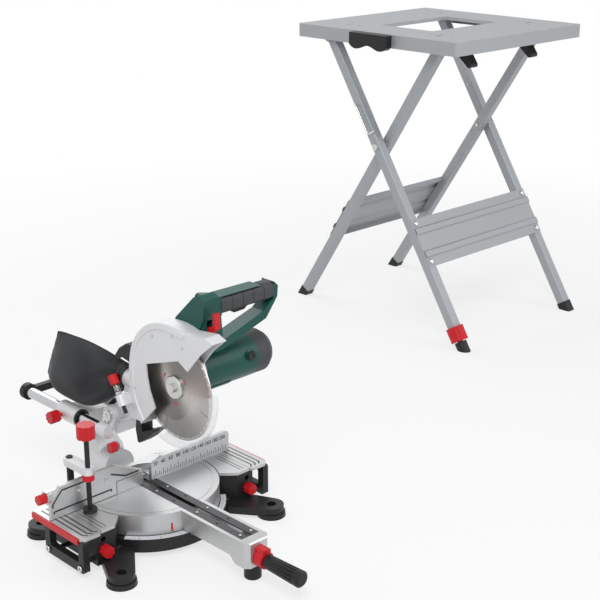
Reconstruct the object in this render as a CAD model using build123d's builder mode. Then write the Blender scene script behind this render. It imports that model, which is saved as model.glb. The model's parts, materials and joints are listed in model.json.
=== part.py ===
"""Sliding mitre saw and its folding leg stand, standing side by side on one floor (mm).

The saw is drawn about its turntable axis, the fence face at y = 0 and the operator on -Y.
The stand is drawn about the middle of its table. Both are placed by the planes below.
"""
import os
from math import cos, degrees, hypot, pi, radians, sin, sqrt, atan2

from build123d import *

os.makedirs("parts", exist_ok=True)

# Places on the floor
SAW_X = -744.0
SAW_Y = -190.0
STAND_X = 716.0
STAND_Y = 290.0

# Clearances
RUN_FIT = 0.05
SEAT_FIT = 0.02
SIDE_GAP = 0.5
SLIDE_GAP = 0.3

# Saw base, tables and fence
TABLE_Z = 85.0
TABLE_T = 6.0
TABLE_HALF = 237.5
TABLE_SPLIT = TABLE_HALF - 47.5
TABLE_BACK = 62.0
TABLE_FRONT = -96.0
BASE_Z = 12.0
BASE_R = 158.0
BASE_WALL = 8.0
DECK_Z = 40.0
DECK_T = 8.0
HUB_R = 24.0
BOX_X = TABLE_HALF - 37.5
BOX_WALL = 5.0
BOX_FLAT_X = 158.0
BOX_CORNER = (146.0, -84.0)
BOX_INNER_R = 149.0
FOOT_X = 193.0
FOOT_PITCH_Y = 266.0
FOOT_MID_Y = -28.0
FOOT_R = 30.0
FOOT_T = 24.0
FOOT_ROOT_R = 34.0
FOOT_ROOT_X = 150.0
FOOT_ROOT_FRONT = -90.0
FOOT_ROOT_BACK = 45.0
FOOT_HOLE_R = 4.5
FOOT_BORE_R = 10.0
PIVOT_R = 8.0
PIVOT_H = 28.0
SCALE_R = 147.0
SCALE_T = 2.0
SCALE_HALF = 56.0
FENCE_T = 8.0
FENCE_H = 45.0
FENCE_END = TABLE_HALF - 18.5
FENCE_KERF = 9.0
LOW_FENCE_H = 27.0
LOW_FENCE_END = 78.0
LEFT_FENCE_TOP = 150.0
LEFT_FENCE_END = TABLE_HALF - 2.5
FENCE_KNOB_R = 10.0
FENCE_KNOB_Z = TABLE_Z + 42
ARC_R = 60.0
ARC_W = 14.0
SOCKET_Z = 64.0
SOCKET_R = 6.0
LOCK_X = BOX_X - 16
LOCK_Z = 42.0
LOCK_R = 12.0
LOCK_LEN = 18.0
LOCK_SHANK_R = 3.0

# Table extensions
ROD_R = 5.0
ROD_Z = 22.0
ROD_YS = (-80.0, 0.0)
ROD_IN = 48.0
EXT_T = 14.5
EXT_FRONT = -104.0
EXT_BACK = 22.0
EXT_BAR = 20.0
EXT_POST = 16.0
TRIM_T = 3.5
TRIM_H = 13.0

# Clamp
CLAMP_X = -158.0
CLAMP_Y = 42.0
CLAMP_REACH = 61.0
POST_R = 7.0
POST_LOW = 34.0
ARM_Z = 165.0
ARM_T = 15.0
POST_TOP = ARM_Z + ARM_T + 3
SCREW_R = 5.0
SCREW_TOP = 258.0
PAD_R = 14.0
PAD_T = 7.0
KNOB_R = 18.0
KNOB_Z = 242.0
KNOB_H = 28.0
COLLAR_R = 12.0
COLLAR_H = 12.0

# Turntable and mitre arm
TURN_R = 145.0
TURN_LOW = 42.0
TURN_WALL = 6.0
TURN_HUB_R = 20.0
TURN_CUT = 97.0
ARM_HALF = 30.0
ARM_END = -333.0
ARM_LOW = 46.0
ARM_STEP_Z = 32.0
ARM_STEP_Y = -299.0
KERF_HALF = 9.0
KERF_GAP = 5.0
KERF_SEAT = 22.0
KERF_T = 3.0
KERF_FRONT = -309.0
KERF_BACK = 45.0
PAD_FOOT_R = 17.0
PAD_FOOT_Y = -315.0
HANDLE_Z = 50.0
HANDLE_R = 14.0
HANDLE_TIP_R = 16.5
HANDLE_SHANK_R = 5.0
HANDLE_START = -358.0
HANDLE_END = -450.0
DETENT_R = 17.0
DETENT_T = 21.0

# Bevel knuckle and slide
BARREL_R = 38.0
KNUCKLE_T = 20.0
BARREL_END = 168.0
BOLT_R = 8.0
BOLT_LEN = 61.0
RAIL_X = 44.0
RAIL_Z = 190.0
RAIL_R = 12.0
RAIL_WALL = 2.5
RAIL_FRONT = 66.0
RAIL_END = 362.0
HOUSING_R = 20.0
HOUSING_FRONT = 162.0
HOUSING_BACK = 226.0
SLIDE_KNOB_R = 13.0
SLIDE_KNOB_Y = 205.0
BEVEL_KNOB_R = 14.5
CAP_R = 18.0
CAP_T = 14.0
HINGE_Y = 66.0
HINGE_Z = 226.0
HINGE_R = 8.0
LUG_R = 19.0
LUG_IN = 28.0
LUG_OUT = 42.0
KNUCKLE_R = 18.0
KNUCKLE_HALF = 27.0
LOCK_PIN_Y = 42.0
LOCK_PIN_Z = 166.0
LOCK_PIN_R = 3.5

# Head
BLADE_Y = -100.0
BLADE_Z = 325.0
BLADE_R = 108.0
BLADE_BORE = 15.0
BLADE_T = 2.4
TEETH = 40
GUARD_LEFT = -22.0
GUARD_RIGHT = 12.0
GUARD_WALL = 3.0
LOWER_R = 119.0
LOWER_WALL = 1.5
LOWER_LEFT = -16.5
LOWER_RIGHT = 5.0
LOWER_HUB = 34.0
SPINDLE_R = 10.0
GEAR_CASE_T = 22.0
MOTOR_Y = -110.0
MOTOR_Z = 352.0
MOTOR_R = 45.0
MOTOR_END = 168.0
MOTOR_CAP_LEN = 46.0
GRIP_Y = -152.0
GRIP_Z = 492.0
GRIP_R = 17.0
GRIP_X = 62.0
GRIP_END = 196.0
LEVER_X = 25.0
LEVER_W = 12.0
LEVER_Y = -148.0
LEVER_Z = 446.0
PORT_X = -5.0
PORT_Z = 305.0
PORT_R = 20.0
HORN_W = 26.0
STOP_X = -37.0
STOP_R = 4.0
STOP_Y = 45.0
STOP_Z = 298.0
STOP_LEAN = 30.46
STOP_LUG = 22.0

# Stand
STAND_HALF_X = 280.0
STAND_HALF_Y = 290.0
STAND_Z = 840.0
SHEET = 2.0
APRON = 36.0
OPEN_X = 285.0
OPEN_Y = 190.0
OPEN_LIP = 10.0
TUBE = 28.0
TUBE_WALL = 2.0
OUTER_X = 245.0
INNER_X = 210.0
TOP_Y = 184.0
TOP_Z = STAND_Z - 28
FOOT_Y = 330.0
LEG_PIN_R = 5.0
EAR_T = 4.0
EAR_R = 16.0
PANEL_W = 140.0
PANEL_AT = 318.0
PANEL_RIB = 4.5
PANEL_T = 1.5
PANEL_FOLD = 14.0
PANEL_BOLTS = 114.0
PANEL_RIB_IN = 27.0
PANEL_RIB_OUT = 41.0
FOOT_CAP_H = 10.0
FOOT_CAP_WALL = 2.0
CAP_CUT = 14.0
WIRE_R = 2.5
WIRE_UP = 130.0
BAR_R = 12.0
LATCH_X = 120.0
STEM_R = 8.0
STEM_CUT = 70.0
STEM_FOOT_R = 17.0
FOOT_COLLAR_R = 24.5
COLLAR_LEN = 42.0


def saw_xy(z):
    """Level plane of the saw at height z, normal up."""
    return Plane(origin=(SAW_X, SAW_Y, z), x_dir=(1, 0, 0), z_dir=(0, 0, 1))


def saw_xz(y):
    """Upright plane across the saw at depth y, normal to the operator."""
    return Plane(origin=(SAW_X, SAW_Y + y, 0), x_dir=(1, 0, 0), z_dir=(0, -1, 0))


def saw_yz(x):
    """Side plane of the saw at x, normal to the right."""
    return Plane(origin=(SAW_X + x, SAW_Y, 0), x_dir=(0, 1, 0), z_dir=(1, 0, 0))


def stand_xy(z):
    """Level plane of the stand at height z, normal up."""
    return Plane(origin=(STAND_X, STAND_Y, z), x_dir=(1, 0, 0), z_dir=(0, 0, 1))


def stand_yz(x):
    """Side plane of the stand at x, normal to the right."""
    return Plane(origin=(STAND_X + x, STAND_Y, 0), x_dir=(0, 1, 0), z_dir=(1, 0, 0))


def stand_xz(y):
    """Upright plane across the stand at depth y, normal to the front."""
    return Plane(origin=(STAND_X, STAND_Y + y, 0), x_dir=(1, 0, 0), z_dir=(0, -1, 0))


def fluted(plane, at, radius, lobes, flute):
    """Outline of a fluted hand knob."""
    with BuildSketch(plane) as outline:
        with Locations(at):
            Circle(radius)
            with PolarLocations(radius + flute * 0.45, lobes):
                Circle(flute, mode=Mode.SUBTRACT)
    return outline.sketch


def stop_plane(along):
    """Plane across the depth stop's rod, a distance down it."""
    lean = radians(STOP_LEAN)
    return Plane(
        origin=(SAW_X, SAW_Y + STOP_Y - along * sin(lean), STOP_Z - along * cos(lean)),
        x_dir=(1, 0, 0),
        z_dir=(0, -sin(lean), -cos(lean)),
    )


def wedge(centre, start, stop, reach):
    """Points of a fan from one angle to another, in degrees, for cutting sectors."""
    steps = 6
    fan = [centre]
    for i in range(steps + 1):
        a = radians(start + (stop - start) * i / steps)
        fan.append((centre[0] + reach * cos(a), centre[1] + reach * sin(a)))
    return fan


SAW_MIRROR = Plane(origin=(SAW_X, SAW_Y, 0), z_dir=(1, 0, 0))
STAND_MIRROR = Plane(origin=(STAND_X, STAND_Y, 0), z_dir=(1, 0, 0))
FOOT_FRONT = FOOT_MID_Y - FOOT_PITCH_Y / 2
FOOT_BACK = FOOT_MID_Y + FOOT_PITCH_Y / 2
BOX_TOP = TABLE_Z - TABLE_T

# Base casting: ring, two side boxes, four feet
with BuildPart() as saw_base:
    with BuildSketch(saw_xy(BASE_Z)):
        Circle(BASE_R)
    extrude(amount=DECK_Z - BASE_Z)
    with BuildSketch(saw_xy(BASE_Z)):
        Circle(BASE_R - BASE_WALL)
        Circle(HUB_R, mode=Mode.SUBTRACT)
        with Locations((-100, ROD_YS[0]), (100, ROD_YS[0]), (-100, ROD_YS[1]), (100, ROD_YS[1])):
            Rectangle(70, 20, mode=Mode.SUBTRACT)
        with PolarLocations(0, 4, start_angle=45):
            Rectangle(2 * BASE_R, 5, mode=Mode.SUBTRACT)
    extrude(amount=DECK_Z - DECK_T - BASE_Z, mode=Mode.SUBTRACT)
    with BuildSketch(saw_xy(BASE_Z)):
        with BuildLine():
            Polyline(
                (-BOX_X, TABLE_FRONT),
                (-BOX_FLAT_X, TABLE_FRONT),
                (-BOX_CORNER[0], BOX_CORNER[1]),
                (-100, -40),
                (-100, TABLE_BACK),
                (-BOX_X, TABLE_BACK),
                close=True,
            )
        make_face()
        mirror(about=Plane.YZ)
        Circle(BOX_INNER_R, mode=Mode.SUBTRACT)
    extrude(amount=BOX_TOP - BASE_Z)
    with BuildSketch(saw_xy(BASE_Z)):
        with Locations((-BOX_X + BOX_WALL + 12, -12), (BOX_X - BOX_WALL - 12, -12)):
            Rectangle(24, 136)
    extrude(amount=BOX_TOP - BOX_WALL - BASE_Z, mode=Mode.SUBTRACT)
    for side in (-1, 1):
        for foot_y, root_y in ((FOOT_FRONT, FOOT_ROOT_FRONT), (FOOT_BACK, FOOT_ROOT_BACK)):
            with BuildSketch(saw_xy(8)):
                with Locations((side * FOOT_X, foot_y)):
                    Circle(FOOT_R - 4)
                with Locations((side * FOOT_ROOT_X, root_y)):
                    Circle(FOOT_ROOT_R)
                make_hull()
                Circle(BASE_R - BASE_WALL, mode=Mode.SUBTRACT)
            extrude(amount=FOOT_T - 8)
            with BuildSketch(saw_xy(0)):
                with Locations((side * FOOT_X, foot_y)):
                    Circle(FOOT_R)
            extrude(amount=10, taper=8)
    with BuildSketch(saw_xy(0)):
        with Locations((0, FOOT_MID_Y)):
            with GridLocations(2 * FOOT_X, FOOT_PITCH_Y, 2, 2):
                Circle(FOOT_HOLE_R)
    extrude(amount=FOOT_T, mode=Mode.SUBTRACT)
    with BuildSketch(saw_xy(14)):
        with Locations((0, FOOT_MID_Y)):
            with GridLocations(2 * FOOT_X, FOOT_PITCH_Y, 2, 2):
                Circle(FOOT_BORE_R)
    extrude(amount=FOOT_T, mode=Mode.SUBTRACT)
    with BuildSketch(saw_xy(DECK_Z - 2)):
        Circle(PIVOT_R)
    extrude(amount=PIVOT_H + 2)
    for side in (-1, 1):
        with BuildSketch(saw_yz(side * (BOX_X + 1))):
            with Locations(*[(y, ROD_Z) for y in ROD_YS]):
                Circle(ROD_R + RUN_FIT)
        extrude(amount=-side * (BOX_X + 1 - ROD_IN + 2), mode=Mode.SUBTRACT)
    with BuildSketch(saw_xz(TABLE_FRONT)):
        with Locations((-LOCK_X, SOCKET_Z), (LOCK_X, SOCKET_Z)):
            Circle(SOCKET_R)
    extrude(amount=-18, mode=Mode.SUBTRACT)
    with BuildSketch(saw_xz(TABLE_FRONT)):
        with Locations((-LOCK_X, LOCK_Z), (LOCK_X, LOCK_Z)):
            Circle(LOCK_SHANK_R + RUN_FIT)
    extrude(amount=-12.5, mode=Mode.SUBTRACT)
    with BuildSketch(saw_xy(POST_LOW - 1)):
        with Locations((CLAMP_X, CLAMP_Y), (-CLAMP_X, CLAMP_Y)):
            Circle(POST_R + RUN_FIT)
    extrude(amount=TABLE_Z, mode=Mode.SUBTRACT)

# Fixed table plates
with BuildPart() as saw_tables:
    with BuildSketch(saw_xy(BOX_TOP)):
        with BuildLine():
            Polyline(
                (-TABLE_SPLIT + SIDE_GAP, TABLE_FRONT - 2),
                (-BOX_FLAT_X, TABLE_FRONT - 2),
                (-BOX_CORNER[0] + 2, BOX_CORNER[1] - 2),
                (-100, -42),
                (-100, TABLE_BACK),
                (-TABLE_SPLIT + SIDE_GAP, TABLE_BACK),
                close=True,
            )
        make_face()
        mirror(about=Plane.YZ)
        Circle(SCALE_R, mode=Mode.SUBTRACT)
        with Locations((CLAMP_X, CLAMP_Y), (-CLAMP_X, CLAMP_Y)):
            Circle(POST_R + RUN_FIT, mode=Mode.SUBTRACT)
    extrude(amount=TABLE_T)
    with BuildSketch(saw_xy(TABLE_Z - 1)):
        with Locations((-TABLE_SPLIT + 10, -50), (TABLE_SPLIT - 10, -50)):
            Rectangle(2, 80)
        with Locations((-TABLE_SPLIT + 18, -50), (TABLE_SPLIT - 18, -50)):
            Rectangle(2, 80)
    extrude(amount=2, mode=Mode.SUBTRACT)

# Mitre scale ring round the turntable's front
with BuildPart() as mitre_scale:
    with BuildSketch(saw_xy(DECK_Z)):
        Circle(BASE_R)
        Circle(SCALE_R, mode=Mode.SUBTRACT)
        Polygon(*wedge((0, 0), 270 - SCALE_HALF, 270 + SCALE_HALF, 260), align=None, mode=Mode.INTERSECT)
    extrude(amount=SCALE_T)

# Fixed fence: right plate, low left plate, guide bar and the arc that joins them
with BuildPart() as fence_casting:
    with BuildSketch(saw_xz(FENCE_T)):
        with BuildLine():
            Polyline(
                (FENCE_KERF, TABLE_Z + SIDE_GAP),
                (FENCE_END, TABLE_Z + SIDE_GAP),
                (FENCE_END, TABLE_Z + FENCE_H - 6),
                (FENCE_END - 6, TABLE_Z + FENCE_H),
                (FENCE_KERF + 30, TABLE_Z + FENCE_H),
                (FENCE_KERF, TABLE_Z + FENCE_H - 14),
                close=True,
            )
        make_face()
        with Locations((98, TABLE_Z + 24), (162, TABLE_Z + 24)):
            Circle(4.5, mode=Mode.SUBTRACT)
    extrude(amount=FENCE_T)
    with BuildSketch(saw_xz(FENCE_T)):
        with BuildLine():
            Polyline(
                (-LOW_FENCE_END, TABLE_Z + SIDE_GAP),
                (-FENCE_KERF - 3, TABLE_Z + SIDE_GAP),
                (-FENCE_KERF - 3, TABLE_Z + LOW_FENCE_H),
                (-LOW_FENCE_END, TABLE_Z + LOW_FENCE_H),
                close=True,
            )
        make_face()
    extrude(amount=FENCE_T)
    with BuildSketch(saw_xy(TABLE_Z + SIDE_GAP)):
        with Locations(((-186 - ARC_R) / 2, FENCE_T + 8)):
            Rectangle(186 - ARC_R, 16)
        with Locations(((FENCE_KERF + FENCE_END) / 2 + 30, FENCE_T + 3)):
            Rectangle(FENCE_END - FENCE_KERF - 60, 6)
    extrude(amount=22)
    with BuildSketch(saw_xy(TABLE_Z)):
        with Locations((-170, FENCE_T + 12), (184, FENCE_T + 18)):
            Rectangle(32, 24)
    extrude(amount=9)
    with BuildSketch(saw_xy(TABLE_Z + SIDE_GAP)):
        Circle(ARC_R + ARC_W)
        Circle(ARC_R, mode=Mode.SUBTRACT)
        with Locations((0, FENCE_T - 1 - ARC_R * 2)):
            Rectangle(ARC_R * 4, ARC_R * 4, mode=Mode.SUBTRACT)
    extrude(amount=13)
    with BuildSketch(saw_yz(-187)):
        with Locations((FENCE_T + 3, 95)):
            Rectangle(6.6, 6.6)
    extrude(amount=187 - LOW_FENCE_END, mode=Mode.SUBTRACT)
    with BuildSketch(saw_xy(TABLE_Z + 9)):
        with Locations((-170, FENCE_T + 20), (184, FENCE_T + 20)):
            Circle(5.5)
    extrude(amount=4)

# Movable left fence with its guide tongue and knob boss
with BuildPart() as left_fence:
    with BuildSketch(saw_xz(FENCE_T - SLIDE_GAP)):
        with BuildLine():
            Polyline(
                (-LEFT_FENCE_END, TABLE_Z + 1),
                (-LEFT_FENCE_END, TABLE_Z + 37),
                (-LEFT_FENCE_END + 24, LEFT_FENCE_TOP),
                (-82, LEFT_FENCE_TOP),
                (-14, TABLE_Z + 33),
                (-14, TABLE_Z + LOW_FENCE_H + 1.5),
                (-LOW_FENCE_END - 1.5, TABLE_Z + LOW_FENCE_H + 1.5),
                (-LOW_FENCE_END - 1.5, TABLE_Z + 1),
                close=True,
            )
        make_face()
        with Locations((-168, 126), (-104, 126)):
            Circle(4.5, mode=Mode.SUBTRACT)
    extrude(amount=FENCE_T - SLIDE_GAP)
    with BuildSketch(saw_yz(-205)):
        with Locations((FENCE_T + 2.6, 95)):
            Rectangle(6, 6)
    extrude(amount=110)
    with BuildSketch(saw_yz(-LEFT_FENCE_END)):
        with Locations((FENCE_T + 9.7, FENCE_KNOB_Z)):
            RectangleRounded(20, 26, 5)
    extrude(amount=24)
    with BuildSketch(saw_yz(-LEFT_FENCE_END)):
        with Locations((FENCE_T + 10, FENCE_KNOB_Z)):
            Circle(4 + RUN_FIT)
    extrude(amount=20, mode=Mode.SUBTRACT)

with BuildPart() as fence_knob:
    extrude(
        fluted(saw_yz(-LEFT_FENCE_END - 0.5), (FENCE_T + 10, FENCE_KNOB_Z), FENCE_KNOB_R, 7, 2.5),
        amount=-16,
    )
    with BuildSketch(saw_yz(-LEFT_FENCE_END - 0.5)):
        with Locations((FENCE_T + 10, FENCE_KNOB_Z)):
            Circle(4)
    extrude(amount=19)

# Table extensions: end frame on two rods, grooved plate, edge trim
with BuildPart() as left_extension_frame:
    with BuildSketch(saw_yz(-TABLE_HALF)):
        with Locations(((EXT_FRONT + EXT_BACK) / 2, (BASE_Z + BOX_TOP) / 2)):
            RectangleRounded(EXT_BACK - EXT_FRONT, BOX_TOP - BASE_Z, 5)
        with Locations(((EXT_FRONT + EXT_BACK) / 2, (BASE_Z + BOX_TOP + EXT_BAR - 12) / 2)):
            RectangleRounded(
                EXT_BACK - EXT_FRONT - 2 * EXT_POST,
                BOX_TOP - BASE_Z - EXT_BAR - 12,
                6,
                mode=Mode.SUBTRACT,
            )
    extrude(amount=EXT_T)
    with BuildSketch(saw_yz(-TABLE_HALF + EXT_T - 2)):
        with Locations(*[(y, ROD_Z) for y in ROD_YS]):
            Circle(ROD_R)
    extrude(amount=TABLE_HALF - EXT_T + 2 - ROD_IN)
    with BuildSketch(saw_yz(-TABLE_HALF)):
        with Locations((EXT_FRONT + 10, ROD_Z), (EXT_BACK - 10, ROD_Z)):
            RegularPolygon(5, 6)
    extrude(amount=-3)

with BuildPart() as left_extension_plate:
    with BuildSketch(saw_xy(BOX_TOP)):
        with BuildLine():
            Polyline(
                (-TABLE_HALF, EXT_FRONT + 8),
                (-TABLE_HALF + 8, EXT_FRONT),
                (-TABLE_SPLIT - SIDE_GAP - 6, EXT_FRONT),
                (-TABLE_SPLIT - SIDE_GAP, TABLE_FRONT - 2),
                (-TABLE_SPLIT - SIDE_GAP, TABLE_BACK),
                (-TABLE_HALF, TABLE_BACK),
                close=True,
            )
        make_face()
    extrude(amount=TABLE_T)
    with BuildSketch(saw_xy(TABLE_Z - 1)):
        with Locations((-TABLE_HALF + 12, -20), (-TABLE_HALF + 23, -20), (-TABLE_HALF + 34, -20)):
            Rectangle(2.4, 140)
    extrude(amount=2, mode=Mode.SUBTRACT)

with BuildPart() as left_extension_trim:
    with BuildSketch(saw_yz(-TABLE_HALF)):
        with Locations(((EXT_FRONT + 10 + TABLE_BACK) / 2, TABLE_Z - 1 - TRIM_H / 2)):
            RectangleRounded(TABLE_BACK - EXT_FRONT - 14, TRIM_H, 3)
    extrude(amount=-TRIM_T)

with BuildPart() as right_extension_frame:
    mirror(left_extension_frame.part, about=SAW_MIRROR)

with BuildPart() as right_extension_plate:
    mirror(left_extension_plate.part, about=SAW_MIRROR)

with BuildPart() as right_extension_trim:
    mirror(left_extension_trim.part, about=SAW_MIRROR)

with BuildPart() as left_extension_knob:
    extrude(fluted(saw_xz(TABLE_FRONT - SIDE_GAP), (-LOCK_X, LOCK_Z), LOCK_R, 7, 3.5), amount=LOCK_LEN)
    with BuildSketch(saw_xz(TABLE_FRONT - SIDE_GAP)):
        with Locations((-LOCK_X, LOCK_Z)):
            Circle(LOCK_SHANK_R)
    extrude(amount=-12)

with BuildPart() as right_extension_knob:
    mirror(left_extension_knob.part, about=SAW_MIRROR)

# Hold-down clamp
with BuildPart() as clamp_post:
    with BuildSketch(saw_xy(POST_LOW)):
        with Locations((CLAMP_X, CLAMP_Y)):
            Circle(POST_R)
    extrude(amount=POST_TOP - POST_LOW)
    chamfer(clamp_post.edges().group_by(Axis.Z)[-1], 1.5)

with BuildPart() as clamp_arm:
    with BuildSketch(saw_xy(ARM_Z)):
        with Locations((CLAMP_X, CLAMP_Y)):
            Circle(12)
        with Locations((CLAMP_X, CLAMP_Y - CLAMP_REACH)):
            Circle(11)
        make_hull()
        with Locations((CLAMP_X, CLAMP_Y)):
            Circle(POST_R + SEAT_FIT, mode=Mode.SUBTRACT)
        with Locations((CLAMP_X, CLAMP_Y - CLAMP_REACH)):
            Circle(SCREW_R + RUN_FIT, mode=Mode.SUBTRACT)
    extrude(amount=ARM_T)

with BuildPart() as clamp_screw:
    with BuildSketch(saw_xy(TABLE_Z)):
        with Locations((CLAMP_X, CLAMP_Y - CLAMP_REACH)):
            Circle(PAD_R)
    extrude(amount=PAD_T)
    with BuildSketch(saw_xy(TABLE_Z + PAD_T)):
        with Locations((CLAMP_X, CLAMP_Y - CLAMP_REACH)):
            Circle(SCREW_R)
    extrude(amount=SCREW_TOP - TABLE_Z - PAD_T)

with BuildPart() as clamp_knob:
    extrude(fluted(saw_xy(KNOB_Z), (CLAMP_X, CLAMP_Y - CLAMP_REACH), KNOB_R, 9, 3.5), amount=KNOB_H)
    with BuildSketch(saw_xy(KNOB_Z)):
        with Locations((CLAMP_X, CLAMP_Y - CLAMP_REACH)):
            Circle(SCREW_R + RUN_FIT)
    extrude(amount=SCREW_TOP - KNOB_Z, mode=Mode.SUBTRACT)

with BuildPart() as clamp_collar:
    extrude(
        fluted(saw_xy(ARM_Z - COLLAR_H), (CLAMP_X, CLAMP_Y - CLAMP_REACH), COLLAR_R, 10, 1.5),
        amount=COLLAR_H,
    )
    with BuildSketch(saw_xy(ARM_Z - COLLAR_H)):
        with Locations((CLAMP_X, CLAMP_Y - CLAMP_REACH)):
            Circle(SCREW_R + RUN_FIT)
    extrude(amount=COLLAR_H, mode=Mode.SUBTRACT)

# Turntable with its arm and kerf seat, the knuckle on its rear face
with BuildPart() as turntable:
    with BuildSketch(saw_xy(TURN_LOW)):
        Circle(TURN_R)
    extrude(amount=TABLE_Z - TURN_LOW)
    with BuildSketch(saw_xy(TURN_LOW)):
        Circle(TURN_R - TURN_WALL)
        Circle(TURN_HUB_R, mode=Mode.SUBTRACT)
        with Locations((0, TURN_CUT + 60 - TURN_WALL)):
            Rectangle(300, 120, mode=Mode.SUBTRACT)
        with PolarLocations(0, 3):
            Rectangle(2 * TURN_R, 5, mode=Mode.SUBTRACT)
    extrude(amount=TABLE_Z - TURN_WALL - TURN_LOW, mode=Mode.SUBTRACT)
    with BuildSketch(saw_xy(TURN_LOW)):
        with Locations((0, TURN_CUT + 60)):
            Rectangle(300, 120)
    extrude(amount=TABLE_Z, mode=Mode.SUBTRACT)
    with BuildSketch(saw_xy(DECK_Z)):
        Circle(TURN_HUB_R)
    extrude(amount=TURN_LOW - DECK_Z + 2)
    with BuildSketch(saw_yz(-ARM_HALF)):
        with BuildLine():
            Polyline(
                (-138, TABLE_Z),
                (ARM_END + 3, TABLE_Z),
                (ARM_END, TABLE_Z - 3),
                (ARM_END, ARM_STEP_Z),
                (ARM_STEP_Y, ARM_STEP_Z),
                (ARM_STEP_Y + 16, ARM_LOW),
                (-138, ARM_LOW),
                close=True,
            )
        make_face()
    extrude(amount=2 * ARM_HALF)
    chamfer(turntable.edges().filter_by(Axis.Z).group_by(Axis.Y)[0], 9)
    with BuildSketch(saw_xy(ARM_LOW)):
        with Locations((0, (ARM_STEP_Y + 20 - 148) / 2)):
            Rectangle(2 * ARM_HALF - 2 * TURN_WALL, -148 - ARM_STEP_Y - 20)
    extrude(amount=BOX_TOP - ARM_LOW, mode=Mode.SUBTRACT)
    with BuildSketch(saw_xy(TABLE_Z - KERF_T)):
        with Locations((0, (KERF_FRONT + KERF_BACK) / 2)):
            Rectangle(2 * KERF_SEAT + 0.4, KERF_BACK - KERF_FRONT + 0.4)
    extrude(amount=KERF_T + 1, mode=Mode.SUBTRACT)
    with BuildSketch(saw_xy(BOX_TOP - 1)):
        with Locations((0, (KERF_FRONT + KERF_BACK) / 2)):
            Rectangle(2 * KERF_HALF, KERF_BACK - KERF_FRONT - 10)
    extrude(amount=TABLE_T + 1, mode=Mode.SUBTRACT)
    with BuildSketch(saw_xy(TABLE_Z - 0.8)):
        for ring in range(6):
            Circle(62 + 14 * ring + 1.2)
            Circle(62 + 14 * ring, mode=Mode.SUBTRACT)
    extrude(amount=1, mode=Mode.SUBTRACT)
    with BuildSketch(saw_xy(DECK_Z)):
        Circle(PIVOT_R + RUN_FIT)
    extrude(amount=PIVOT_H + 1, mode=Mode.SUBTRACT)
    with BuildSketch(saw_xz(ARM_END)):
        with Locations((0, HANDLE_Z)):
            Circle(HANDLE_SHANK_R + RUN_FIT)
    extrude(amount=-21, mode=Mode.SUBTRACT)

with BuildPart() as bevel_knuckle:
    with BuildSketch(saw_xz(TURN_CUT)):
        with Locations((0, TABLE_Z)):
            Circle(BARREL_R)
    extrude(amount=-KNUCKLE_T)
    with BuildSketch(saw_xz(TURN_CUT)):
        with Locations((0, TABLE_Z)):
            Circle(BOLT_R)
    extrude(amount=-BOLT_LEN)

with BuildPart() as kerf_plates:
    with BuildSketch(saw_xy(TABLE_Z - KERF_T)):
        with Locations((0, (KERF_FRONT + KERF_BACK) / 2)):
            Rectangle(2 * KERF_SEAT, KERF_BACK - KERF_FRONT)
            Rectangle(2 * KERF_GAP, KERF_BACK - KERF_FRONT, mode=Mode.SUBTRACT)
        with Locations((0, -100)):
            with GridLocations(2 * KERF_SEAT - 15, 130, 2, 3):
                Circle(2.5, mode=Mode.SUBTRACT)
    extrude(amount=KERF_T)

with BuildPart() as arm_foot:
    with BuildSketch(saw_xy(0)):
        with Locations((0, PAD_FOOT_Y)):
            Circle(PAD_FOOT_R)
    extrude(amount=ARM_STEP_Z)
    chamfer(arm_foot.edges().group_by(Axis.Z)[0], 2)

with BuildPart() as mitre_handle:
    with BuildSketch(saw_yz(0)):
        with BuildLine():
            Polyline(
                (HANDLE_START, HANDLE_Z),
                (HANDLE_START, HANDLE_Z + HANDLE_R),
                (HANDLE_END + 9, HANDLE_Z + HANDLE_TIP_R),
                (HANDLE_END + 4, HANDLE_Z + HANDLE_TIP_R),
                (HANDLE_END, HANDLE_Z + HANDLE_TIP_R - 5),
                (HANDLE_END, HANDLE_Z),
                close=True,
            )
        make_face()
    revolve(axis=Axis((SAW_X, SAW_Y, HANDLE_Z), (0, 1, 0)))
    with BuildSketch(saw_xz(HANDLE_START)):
        with Locations((0, HANDLE_Z)):
            with PolarLocations(HANDLE_R + 1.5, 14):
                Circle(1.8)
    extrude(amount=HANDLE_START - HANDLE_END - 14, mode=Mode.SUBTRACT)
    with BuildSketch(saw_xz(HANDLE_START)):
        with Locations((0, HANDLE_Z)):
            Circle(HANDLE_SHANK_R)
    extrude(amount=HANDLE_START - ARM_END - 20)

with BuildPart() as detent_lever:
    with BuildSketch(saw_xz(ARM_END - 1)):
        with Locations((0, HANDLE_Z)):
            Circle(DETENT_R)
        with Locations((0, HANDLE_Z + DETENT_R)):
            RectangleRounded(20, 14, 4)
        with Locations((0, HANDLE_Z)):
            Circle(HANDLE_SHANK_R + RUN_FIT, mode=Mode.SUBTRACT)
    extrude(amount=DETENT_T)

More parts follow.
